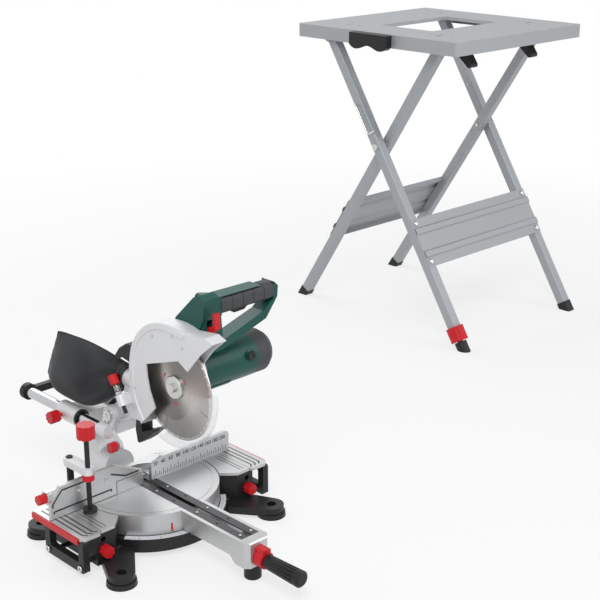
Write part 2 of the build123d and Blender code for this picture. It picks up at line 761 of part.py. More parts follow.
# Bevel post: barrel on the knuckle, leaning column and the two rail housings
with BuildPart() as bevel_post:
    with BuildSketch(saw_xz(TURN_CUT + KNUCKLE_T + SLIDE_GAP)):
        with Locations((0, TABLE_Z)):
            Circle(BARREL_R)
    extrude(amount=-(BARREL_END - TURN_CUT - KNUCKLE_T - SLIDE_GAP))
    with BuildSketch(saw_yz(-25)):
        with BuildLine():
            Polyline(
                (124, 100),
                (BARREL_END, 100),
                (HOUSING_BACK - 6, RAIL_Z - 22),
                (HOUSING_BACK, RAIL_Z - 8),
                (HOUSING_BACK, RAIL_Z + 6),
                (HOUSING_FRONT, RAIL_Z + 6),
                (HOUSING_FRONT, RAIL_Z - 20),
                (138, 132),
                close=True,
            )
        make_face()
    extrude(amount=50)
    with BuildSketch(saw_xz(HOUSING_FRONT)):
        with Locations((0, RAIL_Z - 2)):
            Rectangle(2 * RAIL_X, 18)
        with Locations((-RAIL_X, RAIL_Z), (RAIL_X, RAIL_Z)):
            Circle(HOUSING_R)
    extrude(amount=-(HOUSING_BACK - HOUSING_FRONT))
    with BuildSketch(saw_xz(HOUSING_FRONT - 1)):
        with Locations((-RAIL_X, RAIL_Z), (RAIL_X, RAIL_Z)):
            Circle(RAIL_R + RUN_FIT)
    extrude(amount=-(HOUSING_BACK - HOUSING_FRONT + 2), mode=Mode.SUBTRACT)
    with BuildSketch(saw_xz(TURN_CUT)):
        with Locations((0, TABLE_Z)):
            Circle(BOLT_R + RUN_FIT)
    extrude(amount=-BOLT_LEN - 1, mode=Mode.SUBTRACT)
    with BuildSketch(saw_xz(BARREL_END)):
        with Locations((0, TABLE_Z)):
            Circle(5 + RUN_FIT)
    extrude(amount=7, mode=Mode.SUBTRACT)
    with BuildSketch(saw_yz(-RAIL_X - HOUSING_R - 1)):
        with Locations((SLIDE_KNOB_Y, RAIL_Z)):
            Circle(4 + RUN_FIT)
    extrude(amount=HOUSING_R, mode=Mode.SUBTRACT)

with BuildPart() as bevel_knob:
    extrude(fluted(saw_xz(BARREL_END + SIDE_GAP), (0, TABLE_Z), BEVEL_KNOB_R, 8, 4), amount=-24)
    with BuildSketch(saw_xz(BARREL_END + SIDE_GAP)):
        with Locations((0, TABLE_Z)):
            Circle(5)
    extrude(amount=7)

with BuildPart() as slide_knob:
    with BuildSketch(saw_yz(-RAIL_X - RAIL_R - 0.8)):
        with Locations((SLIDE_KNOB_Y, RAIL_Z)):
            Circle(4)
    extrude(amount=-HOUSING_R + RAIL_R - 8)
    extrude(
        fluted(saw_yz(-RAIL_X - HOUSING_R - 8), (SLIDE_KNOB_Y, RAIL_Z), SLIDE_KNOB_R, 8, 3.5),
        amount=-22,
    )

# Sliding carriage: rails, rear end bracket, hinge bracket and its pin
with BuildPart() as rails:
    with BuildSketch(saw_xz(RAIL_FRONT)):
        with Locations((-RAIL_X, RAIL_Z), (RAIL_X, RAIL_Z)):
            Circle(RAIL_R)
            Circle(RAIL_R - RAIL_WALL, mode=Mode.SUBTRACT)
    extrude(amount=-(RAIL_END - RAIL_FRONT))

with BuildPart() as rail_end_bracket:
    with BuildSketch(saw_xz(RAIL_END - CAP_T + 4)):
        with Locations((-RAIL_X, RAIL_Z), (RAIL_X, RAIL_Z)):
            Circle(CAP_R)
        with Locations((0, RAIL_Z)):
            Rectangle(2 * RAIL_X, 16)
    extrude(amount=-CAP_T)
    with BuildSketch(saw_xz(RAIL_END - CAP_T + 4)):
        with Locations((-RAIL_X, RAIL_Z), (RAIL_X, RAIL_Z)):
            Circle(RAIL_R + SEAT_FIT)
    extrude(amount=-(CAP_T - 4), mode=Mode.SUBTRACT)

with BuildPart() as pivot_bracket:
    with BuildSketch(saw_xz(RAIL_FRONT - 2)):
        with Locations((0, RAIL_Z)):
            Rectangle(2 * RAIL_X, 22)
        with Locations((-RAIL_X, RAIL_Z), (RAIL_X, RAIL_Z)):
            Circle(RAIL_R + 3)
    extrude(amount=-28)
    for side in (-1, 1):
        with BuildSketch(saw_yz(side * LUG_IN)):
            with Locations((HINGE_Y, HINGE_Z)):
                Circle(LUG_R)
            with Locations((RAIL_FRONT + 12, RAIL_Z)):
                Rectangle(28, 20)
            make_hull()
        extrude(amount=side * (LUG_OUT - LUG_IN))
    with BuildSketch(saw_yz(-LUG_OUT)):
        with Locations((LOCK_PIN_Y, LOCK_PIN_Z)):
            Circle(10)
        with Locations((RAIL_FRONT + 4, RAIL_Z - 4)):
            Rectangle(12, 14)
        make_hull()
    extrude(amount=8)
    with BuildSketch(saw_yz(-LUG_OUT)):
        for row in range(2):
            with Locations((RAIL_FRONT + 4 + 11 * row, RAIL_Z + 12)):
                Rectangle(7, 10)
        with Locations((HINGE_Y, HINGE_Z)):
            Circle(LUG_R - 2)
            Circle(12.2, mode=Mode.SUBTRACT)
            with PolarLocations(0, 5):
                Rectangle(2 * LUG_R, 2.4, mode=Mode.SUBTRACT)
    extrude(amount=3, mode=Mode.SUBTRACT)
    with BuildSketch(saw_yz(-LUG_OUT - 1)):
        with Locations((HINGE_Y, HINGE_Z)):
            Circle(HINGE_R + SEAT_FIT)
    extrude(amount=2 * LUG_OUT + 2, mode=Mode.SUBTRACT)
    with BuildSketch(saw_yz(-LUG_OUT - 1)):
        with Locations((LOCK_PIN_Y, LOCK_PIN_Z)):
            Circle(LOCK_PIN_R + RUN_FIT)
    extrude(amount=12, mode=Mode.SUBTRACT)
    with BuildSketch(saw_xz(RAIL_FRONT)):
        with Locations((-RAIL_X, RAIL_Z), (RAIL_X, RAIL_Z)):
            Circle(RAIL_R + SEAT_FIT)
    extrude(amount=-40, mode=Mode.SUBTRACT)

with BuildPart() as pivot_pin:
    with BuildSketch(saw_yz(-LUG_OUT - 3)):
        with Locations((HINGE_Y, HINGE_Z)):
            Circle(HINGE_R)
    extrude(amount=2 * LUG_OUT + 6)
    with BuildSketch(saw_yz(-LUG_OUT), saw_yz(LUG_OUT + 5)):
        with Locations((HINGE_Y, HINGE_Z)):
            Circle(11)
            RegularPolygon(5, 6, mode=Mode.SUBTRACT)
    extrude(amount=-5)

with BuildPart() as head_lock_pin:
    with BuildSketch(saw_yz(-LUG_OUT - 5)):
        with Locations((LOCK_PIN_Y, LOCK_PIN_Z)):
            Circle(LOCK_PIN_R)
    extrude(amount=16)
    with BuildSketch(saw_yz(-LUG_OUT - 4)):
        with Locations((LOCK_PIN_Y, LOCK_PIN_Z)):
            RectangleRounded(16, 20, 5)
    extrude(amount=-16)

# Upper guard: crowned hood over the blade, window on the left, arm back to the hinge
HOOD = [(-15, 227), (12, 272), (18, 325), (4, 392), (-38, 440), (-95, 460), (-160, 455)]
NOSE = [(-217, 462), (-238, 455), (-201, 424), (-164, 381), (-168, 330), (-122, 264), (-70, 240)]
WINDOW = [(-137, 395), (-37, 361), (-39, 334), (-45, 307), (-61, 274), (-14, 226), (-60, 190), (-200, 230)]


def drawn_in(point, depth):
    """A point of the hood moved toward the blade's axis."""
    reach = hypot(point[0] - BLADE_Y, point[1] - BLADE_Z)
    share = 1 - depth / reach
    return (BLADE_Y + (point[0] - BLADE_Y) * share, BLADE_Z + (point[1] - BLADE_Z) * share)


with BuildPart() as upper_guard:
    with BuildSketch(saw_yz(GUARD_LEFT)):
        with BuildLine():
            Spline(*HOOD)
            Polyline(HOOD[-1], *NOSE, HOOD[0])
        make_face()
    extrude(amount=GUARD_RIGHT - GUARD_LEFT)
    with BuildSketch(saw_yz(GUARD_LEFT + GUARD_WALL)):
        with BuildLine():
            inner = [drawn_in(p, GUARD_WALL) for p in HOOD]
            Spline(*inner)
            Polyline(inner[-1], (-214, 458), (-262, 448), (-262, 180), (-40, 180), inner[0])
        make_face()
    extrude(amount=GUARD_RIGHT - GUARD_LEFT - 2 * GUARD_WALL, mode=Mode.SUBTRACT)
    with BuildSketch(saw_yz(GUARD_LEFT - 1)):
        with BuildLine():
            Polyline((-164, 381), *WINDOW, (-190, 360), close=True)
        make_face()
    extrude(amount=GUARD_WALL + 1.5, mode=Mode.SUBTRACT)
    with BuildSketch(saw_yz(GUARD_LEFT)):
        with BuildLine():
            Polyline(
                (-10.5, 231.5), (13, 283), (20, 300), (34, 300), (40, 270), (72, 243), (50, 226),
                close=True,
            )
        make_face()
    extrude(amount=2 * abs(GUARD_LEFT))
    with BuildSketch(saw_yz(-KNUCKLE_HALF)):
        with Locations((HINGE_Y, HINGE_Z)):
            Circle(KNUCKLE_R)
    extrude(amount=2 * KNUCKLE_HALF)
    with BuildSketch(saw_yz(-KNUCKLE_HALF)):
        with Locations((HINGE_Y, HINGE_Z)):
            Circle(HINGE_R + RUN_FIT)
    extrude(amount=2 * KNUCKLE_HALF, mode=Mode.SUBTRACT)
    with BuildSketch(saw_yz(GUARD_RIGHT)):
        with Locations((BLADE_Y, BLADE_Z)):
            Circle(LOWER_HUB - RUN_FIT)
    extrude(amount=LOWER_RIGHT - 0.5 - GUARD_RIGHT)
    with BuildSketch(saw_yz(GUARD_RIGHT)):
        with Locations((BLADE_Y, BLADE_Z)):
            Circle(24)
    extrude(amount=-GUARD_RIGHT, mode=Mode.SUBTRACT)
    with BuildSketch(saw_xz(42)):
        with Locations((PORT_X, PORT_Z)):
            Circle(PORT_R)
    extrude(amount=28)
    with BuildSketch(saw_xz(43)):
        with Locations((PORT_X, PORT_Z)):
            Circle(PORT_R - 7)
    extrude(amount=44, mode=Mode.SUBTRACT)
    with BuildSketch(stop_plane(STOP_LUG)):
        with Locations((STOP_X, 0)):
            Circle(9)
        with Locations((-14, 0)):
            Rectangle(24, 14)
        make_hull()
        with Locations((STOP_X, 0)):
            Circle(STOP_R + RUN_FIT, mode=Mode.SUBTRACT)
    extrude(amount=24)

with BuildPart() as depth_stop:
    with BuildSketch(stop_plane(0)):
        with Locations((STOP_X, 0)):
            Circle(STOP_R)
    extrude(amount=62)
    extrude(fluted(stop_plane(0), (STOP_X, 0), 9, 8, 2.5), amount=-20)

# Black horn that carries the dust from the hood's back down on to the bag's neck
HORN = [(0, 344), (0, 386), (30, 384), (54, 368), (70, 347), (62, 342), (46, 351), (24, 347)]
with BuildPart() as dust_horn:
    with BuildSketch(saw_yz(PORT_X - HORN_W / 2)):
        with BuildLine():
            Polyline(*HORN, close=True)
        make_face()
    extrude(amount=HORN_W)
    fillet(dust_horn.edges().filter_by(Axis.X).sort_by(Axis.Y)[-4:], 4)
    with BuildSketch(saw_yz(GUARD_LEFT)):
        with BuildLine():
            Spline(*HOOD)
            Polyline(HOOD[-1], *NOSE, HOOD[0])
        make_face()
    extrude(amount=GUARD_RIGHT - GUARD_LEFT, mode=Mode.SUBTRACT)

# Chip flap behind the blade, in one node with the horn above it
with BuildPart() as chip_deflector:
    with BuildSketch(saw_yz(GUARD_LEFT + 3)):
        with BuildLine():
            Polyline(
                (-10.5, 231.5), (6, 230), (9, 206), (4, 180), (-3, 180), (-28, 198), (-52, 220),
                (-49, 223), (-24, 212), (-11, 206),
                close=True,
            )
        make_face()
    extrude(amount=GUARD_RIGHT - GUARD_LEFT - 6)
    add(dust_horn.part)

# Lower guard: clear cheeks and rim that swing round the blade's axis
HUB = (BLADE_Y, BLADE_Z)
FAN = wedge(HUB, 172, 290, 2 * LOWER_R)
with BuildPart() as lower_guard:
    with BuildSketch(saw_yz(LOWER_RIGHT)):
        with Locations(HUB):
            Circle(LOWER_R)
        Polygon(*FAN, align=None, mode=Mode.INTERSECT)
        with Locations(HUB):
            Circle(LOWER_HUB + 14)
            Circle(LOWER_HUB, mode=Mode.SUBTRACT)
    extrude(amount=LOWER_WALL)
    with BuildSketch(saw_yz(LOWER_LEFT)):
        with Locations(HUB):
            Circle(LOWER_R)
            Circle(62, mode=Mode.SUBTRACT)
        Polygon(*FAN, align=None, mode=Mode.INTERSECT)
    extrude(amount=LOWER_WALL)
    with BuildSketch(saw_yz(LOWER_LEFT)):
        with Locations(HUB):
            Circle(LOWER_R)
            Circle(LOWER_R - LOWER_WALL, mode=Mode.SUBTRACT)
        Polygon(*FAN, align=None, mode=Mode.INTERSECT)
    extrude(amount=LOWER_RIGHT - LOWER_LEFT + LOWER_WALL)

# Blade, its flange and the spindle
with BuildPart() as blade:
    with BuildSketch(saw_yz(-BLADE_T / 2)):
        with Locations(HUB):
            Circle(BLADE_R)
            Circle(BLADE_BORE, mode=Mode.SUBTRACT)
            with PolarLocations(BLADE_R - 3.4, TEETH):
                with BuildLine():
                    Polyline((-3, -0.6), (6, 1.0), (6, 13), (2, 11), close=True)
                make_face(mode=Mode.SUBTRACT)
            with PolarLocations(BLADE_R - 18, 4, start_angle=20):
                SlotOverall(24, 2.2, mode=Mode.SUBTRACT)
    extrude(amount=BLADE_T)

with BuildPart() as blade_flange:
    with BuildSketch(saw_yz(-BLADE_T / 2)):
        with Locations(HUB):
            Circle(24)
    extrude(amount=-6)
    chamfer(blade_flange.edges().group_by(Axis.X)[0], 2)
    with BuildSketch(saw_yz(-BLADE_T / 2 - 6)):
        with Locations(HUB):
            RegularPolygon(9, 6)
    extrude(amount=-6)
    with BuildSketch(saw_yz(BLADE_T / 2)):
        with Locations(HUB):
            Circle(22)
    extrude(amount=5)
    with BuildSketch(saw_yz(-BLADE_T / 2)):
        with Locations(HUB):
            Circle(BLADE_BORE - SEAT_FIT)
    extrude(amount=BLADE_T)
    with BuildSketch(saw_yz(BLADE_T / 2 + 5)):
        with Locations(HUB):
            Circle(SPINDLE_R)
    extrude(amount=24)

# Gear case, motor, end cap
with BuildPart() as gear_case:
    with BuildSketch(saw_yz(GUARD_RIGHT)):
        with Locations(HUB):
            Circle(38)
        with Locations((MOTOR_Y, MOTOR_Z)):
            Circle(MOTOR_R + 1)
        make_hull()
    extrude(amount=GEAR_CASE_T)
    with BuildSketch(saw_yz(GUARD_RIGHT)):
        with Locations(HUB):
            Circle(SPINDLE_R + RUN_FIT)
    extrude(amount=GEAR_CASE_T - 2, mode=Mode.SUBTRACT)

with BuildPart() as motor_housing:
    with BuildSketch(saw_yz(GUARD_RIGHT + GEAR_CASE_T)):
        with Locations((MOTOR_Y, MOTOR_Z)):
            Circle(MOTOR_R)
    extrude(amount=MOTOR_END - GUARD_RIGHT - GEAR_CASE_T)
    with BuildSketch(saw_yz(GUARD_RIGHT + GEAR_CASE_T)):
        with Locations((MOTOR_Y, MOTOR_Z)):
            Circle(MOTOR_R + 1.5)
            Rectangle(200, 62, mode=Mode.SUBTRACT)
    extrude(amount=70)
    with BuildSketch(saw_xz(MOTOR_Y - MOTOR_R - 2)):
        with Locations((MOTOR_END - 22, MOTOR_Z + 14)):
            Circle(11)
    extrude(amount=-30)
    with BuildSketch(saw_xz(MOTOR_Y - MOTOR_R - 2)):
        with Locations((MOTOR_END - 22, MOTOR_Z + 14)):
            Circle(9)
            Rectangle(12, 2.4, mode=Mode.SUBTRACT)
    extrude(amount=2.5)

with BuildPart() as motor_end_cap:
    with BuildSketch(saw_yz(MOTOR_END)):
        with Locations((MOTOR_Y, MOTOR_Z)):
            Circle(MOTOR_R - 0.5)
    extrude(amount=MOTOR_CAP_LEN)
    chamfer(motor_end_cap.edges().group_by(Axis.X)[-1], 13, 9)

# D-handle across the head, its rubber grip, trigger and release lever
LOOP = [
    (14, 452), (26, 520), (60, 512), (198, 510), (208, 500), (206, 478), (176, 440), (60, 404), (30, 404),
]
with BuildPart() as handle_body:
    with BuildSketch(saw_xz(GRIP_Y + 17)):
        with BuildLine():
            Polyline(*LOOP, close=True)
        make_face()
        with BuildLine():
            Polyline((60, 474), (192, 474), (170, 456), (64, 424), close=True)
        make_face(mode=Mode.SUBTRACT)
    extrude(amount=34)
    fillet(handle_body.edges().filter_by(Axis.Y).group_by(Axis.Z)[-1], 8)
    with BuildSketch(saw_yz(GUARD_RIGHT)):
        with BuildLine():
            Polyline(
                (-84, 448), (-92, 464), (-146, 516), (-160, 522), (-176, 515), (-172, 480),
                (-150, 425), (-134, 392), (-96, 392),
                close=True,
            )
        make_face()
    extrude(amount=38)
    with BuildSketch(saw_yz(GUARD_RIGHT)):
        with Locations((MOTOR_Y, MOTOR_Z)):
            Circle(MOTOR_R + 1.5)
    extrude(amount=100, mode=Mode.SUBTRACT)
    with BuildSketch(saw_yz(LEVER_X - SIDE_GAP)):
        with BuildLine():
            Polyline((-148, 455.5), (-205, 500), (-205, 425), (-148, 437), close=True)
        make_face()
        with Locations((LEVER_Y, LEVER_Z)):
            Circle(8.6)
    extrude(amount=LEVER_W + 2 * SIDE_GAP, mode=Mode.SUBTRACT)
    with BuildSketch(saw_yz(LEVER_X - 5.5)):
        with Locations((LEVER_Y, LEVER_Z)):
            Circle(3 + RUN_FIT)
    extrude(amount=LEVER_W + 11, mode=Mode.SUBTRACT)
    with BuildSketch(saw_yz(GRIP_X)):
        with Locations((GRIP_Y, GRIP_Z)):
            Rectangle(60, 37)
    extrude(amount=GRIP_END - GRIP_X, mode=Mode.SUBTRACT)
    with BuildSketch(saw_yz(GRIP_X - 1)):
        with Locations((GRIP_Y, GRIP_Z)):
            RectangleRounded(20, 20, 5)
    extrude(amount=GRIP_END - GRIP_X + 2)
    with BuildSketch(saw_yz(92)):
        with Locations((GRIP_Y, GRIP_Z - 12)):
            Rectangle(11, 20)
    extrude(amount=52, mode=Mode.SUBTRACT)

with BuildPart() as handle_grip:
    with BuildSketch(saw_yz(GRIP_X)):
        with Locations((GRIP_Y, GRIP_Z)):
            RectangleRounded(36, 36, 13)
            RectangleRounded(20.1, 20.1, 5, mode=Mode.SUBTRACT)
    extrude(amount=GRIP_END - GRIP_X)
    for groove in range(4):
        with BuildSketch(saw_yz(GRIP_X + 26 + 27 * groove)):
            with Locations((GRIP_Y, GRIP_Z)):
                RectangleRounded(40, 40, 13)
                RectangleRounded(34.4, 34.4, 12, mode=Mode.SUBTRACT)
        extrude(amount=2, mode=Mode.SUBTRACT)
    with BuildSketch(saw_yz(92)):
        with Locations((GRIP_Y, GRIP_Z - 14)):
            Rectangle(11, 20)
    extrude(amount=52, mode=Mode.SUBTRACT)

with BuildPart() as trigger:
    with BuildSketch(saw_xz(GRIP_Y + 4.5)):
        with BuildLine():
            Polyline(
                (93.5, 487), (93.5, 474), (104, 466), (130, 467), (142.5, 476), (142.5, 480), (110, 480),
                close=True,
            )
        make_face()
    extrude(amount=9)
    with BuildSketch(saw_xz(GRIP_Y + 5.5)):
        with Locations((97, 483)):
            Circle(2)
    extrude(amount=11)

with BuildPart() as release_lever:
    with BuildSketch(saw_yz(LEVER_X)):
        with Locations((LEVER_Y, LEVER_Z)):
            Circle(7)
        with BuildLine():
            Polyline(
                (-151, 452), (-185, 465), (-185, 490), (-192, 490), (-193, 460), (-176, 446), (-150, 440),
                close=True,
            )
        make_face()
    extrude(amount=LEVER_W)
    with BuildSketch(saw_yz(LEVER_X - 5)):
        with Locations((LEVER_Y, LEVER_Z)):
            Circle(3)
    extrude(amount=LEVER_W + 10)

# Dust bag: collar on the port, swelling cloth body, slanting sewn end
BAG = [
    ((42, 329), (42, 281), -4, 21), ((62, 334), (66, 268), -4, 22.5), ((105, 345), (104, 240), -10, 38),
    ((165, 351), (150, 216), -14, 46), ((222, 350), (235, 215), -16, 42), ((252, 348), (285, 222), -16, 24),
    ((270, 345), (320, 236), -16, 5),
]


def bag_plane(top, low, x):
    """Plane across the bag through its ridge and its keel, its y running up."""
    return Plane(
        origin=(SAW_X + x, SAW_Y + (top[0] + low[0]) / 2, (top[1] + low[1]) / 2),
        x_dir=(1, 0, 0),
        z_dir=(0, low[1] - top[1], top[0] - low[0]),
    )


with BuildPart() as dust_bag:
    for top, low, bag_x, half_w in BAG:
        with BuildSketch(bag_plane(top, low, bag_x)):
            RectangleRounded(2 * half_w, hypot(top[0] - low[0], top[1] - low[1]), 0.72 * half_w)
    loft()

# Stand table
FOOT_SLOPE = atan2(TOP_Y + FOOT_Y, TOP_Z)
LEG_LEN = hypot(TOP_Y + FOOT_Y, TOP_Z)
CROSS_Z = TOP_Z * FOOT_Y / (TOP_Y + FOOT_Y)
with BuildPart() as stand_table:
    with BuildSketch(stand_xy(STAND_Z - APRON)):
        RectangleRounded(2 * STAND_HALF_X, 2 * STAND_HALF_Y, 10)
    extrude(amount=APRON)
    with BuildSketch(stand_xy(STAND_Z - APRON)):
        RectangleRounded(2 * STAND_HALF_X - 2 * SHEET, 2 * STAND_HALF_Y - 2 * SHEET, 8)
    extrude(amount=APRON - SHEET, mode=Mode.SUBTRACT)
    with BuildSketch(stand_xy(STAND_Z - APRON)):
        RectangleRounded(2 * STAND_HALF_X - 2 * SHEET, 2 * STAND_HALF_Y - 2 * SHEET, 8)
        Rectangle(2 * STAND_HALF_X - 2 * SHEET - 20, 2 * STAND_HALF_Y - 2 * SHEET - 20, mode=Mode.SUBTRACT)
    extrude(amount=SHEET)
    with BuildSketch(stand_xy(STAND_Z - OPEN_LIP)):
        RectangleRounded(OPEN_X + 2 * SHEET, OPEN_Y + 2 * SHEET, 8)
    extrude(amount=OPEN_LIP)
    with BuildSketch(stand_xy(STAND_Z - OPEN_LIP)):
        RectangleRounded(OPEN_X, OPEN_Y, 6)
    extrude(amount=OPEN_LIP, mode=Mode.SUBTRACT)
    with BuildSketch(stand_xy(STAND_Z - SHEET)):
        with GridLocations(2 * FOOT_X, FOOT_PITCH_Y, 2, 2):
            Circle(FOOT_HOLE_R)
        with GridLocations(410, 430, 2, 2):
            Circle(4)
        with GridLocations(314, 388, 2, 2):
            Circle(4)
        with GridLocations(400, 330, 2, 2):
            SlotOverall(30, 8)
    extrude(amount=SHEET, mode=Mode.SUBTRACT)
    for side in (-1, 1):
        with BuildSketch(stand_yz(side * (OUTER_X + TUBE / 2 + 1.5))):
            with Locations((TOP_Y, TOP_Z)):
                Circle(EAR_R)
            with Locations((TOP_Y, STAND_Z - SHEET - 4)):
                Rectangle(70, 8)
            make_hull()
        extrude(amount=side * EAR_T)
        with BuildSketch(stand_yz(side * (OUTER_X + TUBE / 2 + 1.5 + EAR_T))):
            with Locations((TOP_Y, TOP_Z)):
                Circle(LEG_PIN_R)
        extrude(amount=-side * (TUBE + 6 + EAR_T))

with BuildPart() as table_handle:
    with BuildSketch(stand_yz(-STAND_HALF_X)):
        with BuildLine():
            Polyline((-68, STAND_Z - SHEET), (68, STAND_Z - SHEET), (68, STAND_Z - 34))
            Spline(
                (68, STAND_Z - 34),
                (34, STAND_Z - 44),
                (0, STAND_Z - 34),
                (-34, STAND_Z - 44),
                (-68, STAND_Z - 34),
            )
            Polyline((-68, STAND_Z - 34), (-68, STAND_Z - SHEET))
        make_face()
    extrude(amount=-22)
    with BuildSketch(stand_yz(-STAND_HALF_X)):
        with Locations((0, STAND_Z - 36)):
            Rectangle(112, 34)
    extrude(amount=-16, mode=Mode.SUBTRACT)


def leg_plane(x, front, along):
    """Plane across a leg, a distance along it from its foot; front legs run up to the rear."""
    run = 1 if front else -1
    return Plane(
        origin=(
            STAND_X + x,
            STAND_Y + run * (-FOOT_Y + along * sin(FOOT_SLOPE)),
            along * cos(FOOT_SLOPE),
        ),
        x_dir=(1, 0, 0),
        z_dir=(0, run * sin(FOOT_SLOPE), cos(FOOT_SLOPE)),
    )


CROSS_AT = CROSS_Z / cos(FOOT_SLOPE)
CLIP_AT = CROSS_AT + WIRE_UP
with BuildPart() as outer_legs:
    for foot_x, low in ((-OUTER_X, STEM_CUT), (OUTER_X, CAP_CUT)):
        with BuildSketch(leg_plane(foot_x, True, low)):
            RectangleRounded(TUBE, TUBE, 3)
            RectangleRounded(TUBE - 2 * TUBE_WALL, TUBE - 2 * TUBE_WALL, 1.5, mode=Mode.SUBTRACT)
        extrude(amount=LEG_LEN - low + TUBE / 2)
    with BuildSketch(leg_plane(-OUTER_X, True, STEM_CUT)):
        Rectangle(TUBE - TUBE_WALL, TUBE - TUBE_WALL)
        Circle(STEM_R + RUN_FIT, mode=Mode.SUBTRACT)
    extrude(amount=16)
    with BuildSketch(stand_yz(-OUTER_X - TUBE), stand_yz(OUTER_X - TUBE)):
        with Locations((TOP_Y, TOP_Z)):
            Circle(LEG_PIN_R + RUN_FIT)
        with Locations((0, CROSS_Z)):
            Circle(LEG_PIN_R + SEAT_FIT)
        with Locations((CLIP_AT * sin(FOOT_SLOPE) - FOOT_Y, CLIP_AT * cos(FOOT_SLOPE))):
            Circle(WIRE_R + RUN_FIT)
    extrude(amount=2 * TUBE, mode=Mode.SUBTRACT)

with BuildPart() as outer_frame_bolts:
    with BuildSketch(stand_yz(-OUTER_X - TUBE / 2)):
        with Locations((0, CROSS_Z)):
            Circle(LEG_PIN_R)
    extrude(amount=OUTER_X - INNER_X + TUBE + 4)
    with BuildSketch(stand_yz(-OUTER_X - TUBE / 2)):
        with Locations((0, CROSS_Z)):
            RegularPolygon(10, 6)
    extrude(amount=-6)
    with BuildSketch(stand_yz(-OUTER_X + TUBE / 2)):
        with Locations((0, CROSS_Z)):
            Circle(9)
            Circle(LEG_PIN_R, mode=Mode.SUBTRACT)
    extrude(amount=OUTER_X - INNER_X - TUBE - 0.5)
    mirror(about=STAND_MIRROR)

with BuildPart() as inner_legs:
    with BuildSketch(leg_plane(-INNER_X, False, CAP_CUT), leg_plane(INNER_X, False, CAP_CUT)):
        RectangleRounded(TUBE, TUBE, 3)
        RectangleRounded(TUBE - 2 * TUBE_WALL, TUBE - 2 * TUBE_WALL, 1.5, mode=Mode.SUBTRACT)
    extrude(amount=LEG_LEN - CAP_CUT + TUBE / 2)
    with BuildSketch(stand_yz(-INNER_X + TUBE / 2 - 1)):
        with Locations((-TOP_Y, TOP_Z)):
            Circle(BAR_R)
            Circle(BAR_R - TUBE_WALL, mode=Mode.SUBTRACT)
    extrude(amount=2 * INNER_X - TUBE + 2)
    with BuildSketch(stand_yz(-INNER_X - TUBE), stand_yz(INNER_X - TUBE)):
        with Locations((0, CROSS_Z)):
            Circle(LEG_PIN_R + RUN_FIT)
    extrude(amount=2 * TUBE, mode=Mode.SUBTRACT)

# Cross panels: folded sheets with pressed ribs on the outer face of each leg pair
def pressed_panel(plane):
    """Section of a sheet with two pressed ribs, lying on the face of the tubes."""
    face = TUBE / 2
    with BuildSketch(plane) as section:
        with BuildLine():
            Polyline(
                (-PANEL_W / 2, face - PANEL_FOLD),
                (-PANEL_W / 2, face + PANEL_T),
                (-PANEL_RIB_OUT - PANEL_RIB, face + PANEL_T),
                (-PANEL_RIB_OUT, face + PANEL_RIB + PANEL_T),
                (-PANEL_RIB_IN, face + PANEL_RIB + PANEL_T),
                (-PANEL_RIB_IN + PANEL_RIB, face + PANEL_T),
                (PANEL_RIB_IN - PANEL_RIB, face + PANEL_T),
                (PANEL_RIB_IN, face + PANEL_RIB + PANEL_T),
                (PANEL_RIB_OUT, face + PANEL_RIB + PANEL_T),
                (PANEL_RIB_OUT + PANEL_RIB, face + PANEL_T),
                (PANEL_W / 2, face + PANEL_T),
                (PANEL_W / 2, face - PANEL_FOLD),
                (PANEL_W / 2 - PANEL_T, face - PANEL_FOLD),
                (PANEL_W / 2 - PANEL_T, face),
                (PANEL_RIB_OUT + PANEL_RIB - 1, face),
                (PANEL_RIB_OUT - 1, face + PANEL_RIB),
                (PANEL_RIB_IN + 1, face + PANEL_RIB),
                (PANEL_RIB_IN - PANEL_RIB + 1, face),
                (-PANEL_RIB_IN + PANEL_RIB - 1, face),
                (-PANEL_RIB_IN - 1, face + PANEL_RIB),
                (-PANEL_RIB_OUT + 1, face + PANEL_RIB),
                (-PANEL_RIB_OUT - PANEL_RIB + 1, face),
                (-PANEL_W / 2 + PANEL_T, face),
                (-PANEL_W / 2 + PANEL_T, face - PANEL_FOLD),
                close=True,
            )
        make_face()
    return section.sketch


def panel_face(front, lift):
    """Plane on the outer face of a leg pair, level with the panel's middle line."""
    run = 1 if front else -1
    middle = leg_plane(0, front, PANEL_AT).origin
    normal = (0, -run * cos(FOOT_SLOPE), sin(FOOT_SLOPE))
    rise = TUBE / 2 + lift
    return Plane(
        origin=(middle.X, middle.Y + rise * normal[1], middle.Z + rise * normal[2]),
        x_dir=(run, 0, 0),
        z_dir=normal,
    )


def panel_side(x, front):
    """Plane across the panel, its x along the leg and its y out of the leg's outer face."""
    run = 1 if front else -1
    return Plane(
        origin=leg_plane(x, front, PANEL_AT).origin,
        x_dir=(0, run * sin(FOOT_SLOPE), cos(FOOT_SLOPE)),
        z_dir=(run, 0, 0),
    )


with BuildPart() as front_panel:
    extrude(pressed_panel(panel_side(-OUTER_X - TUBE / 2, True)), amount=2 * OUTER_X + TUBE)
    with BuildSketch(*[leg_plane(side * OUTER_X, True, PANEL_AT - PANEL_W) for side in (-1, 1)]):
        Rectangle(TUBE + 1, TUBE)
    extrude(amount=2 * PANEL_W, mode=Mode.SUBTRACT)
    with BuildSketch(panel_face(True, PANEL_T)):
        with GridLocations(2 * OUTER_X, PANEL_BOLTS, 2, 2):
            Circle(7)
    extrude(amount=4)

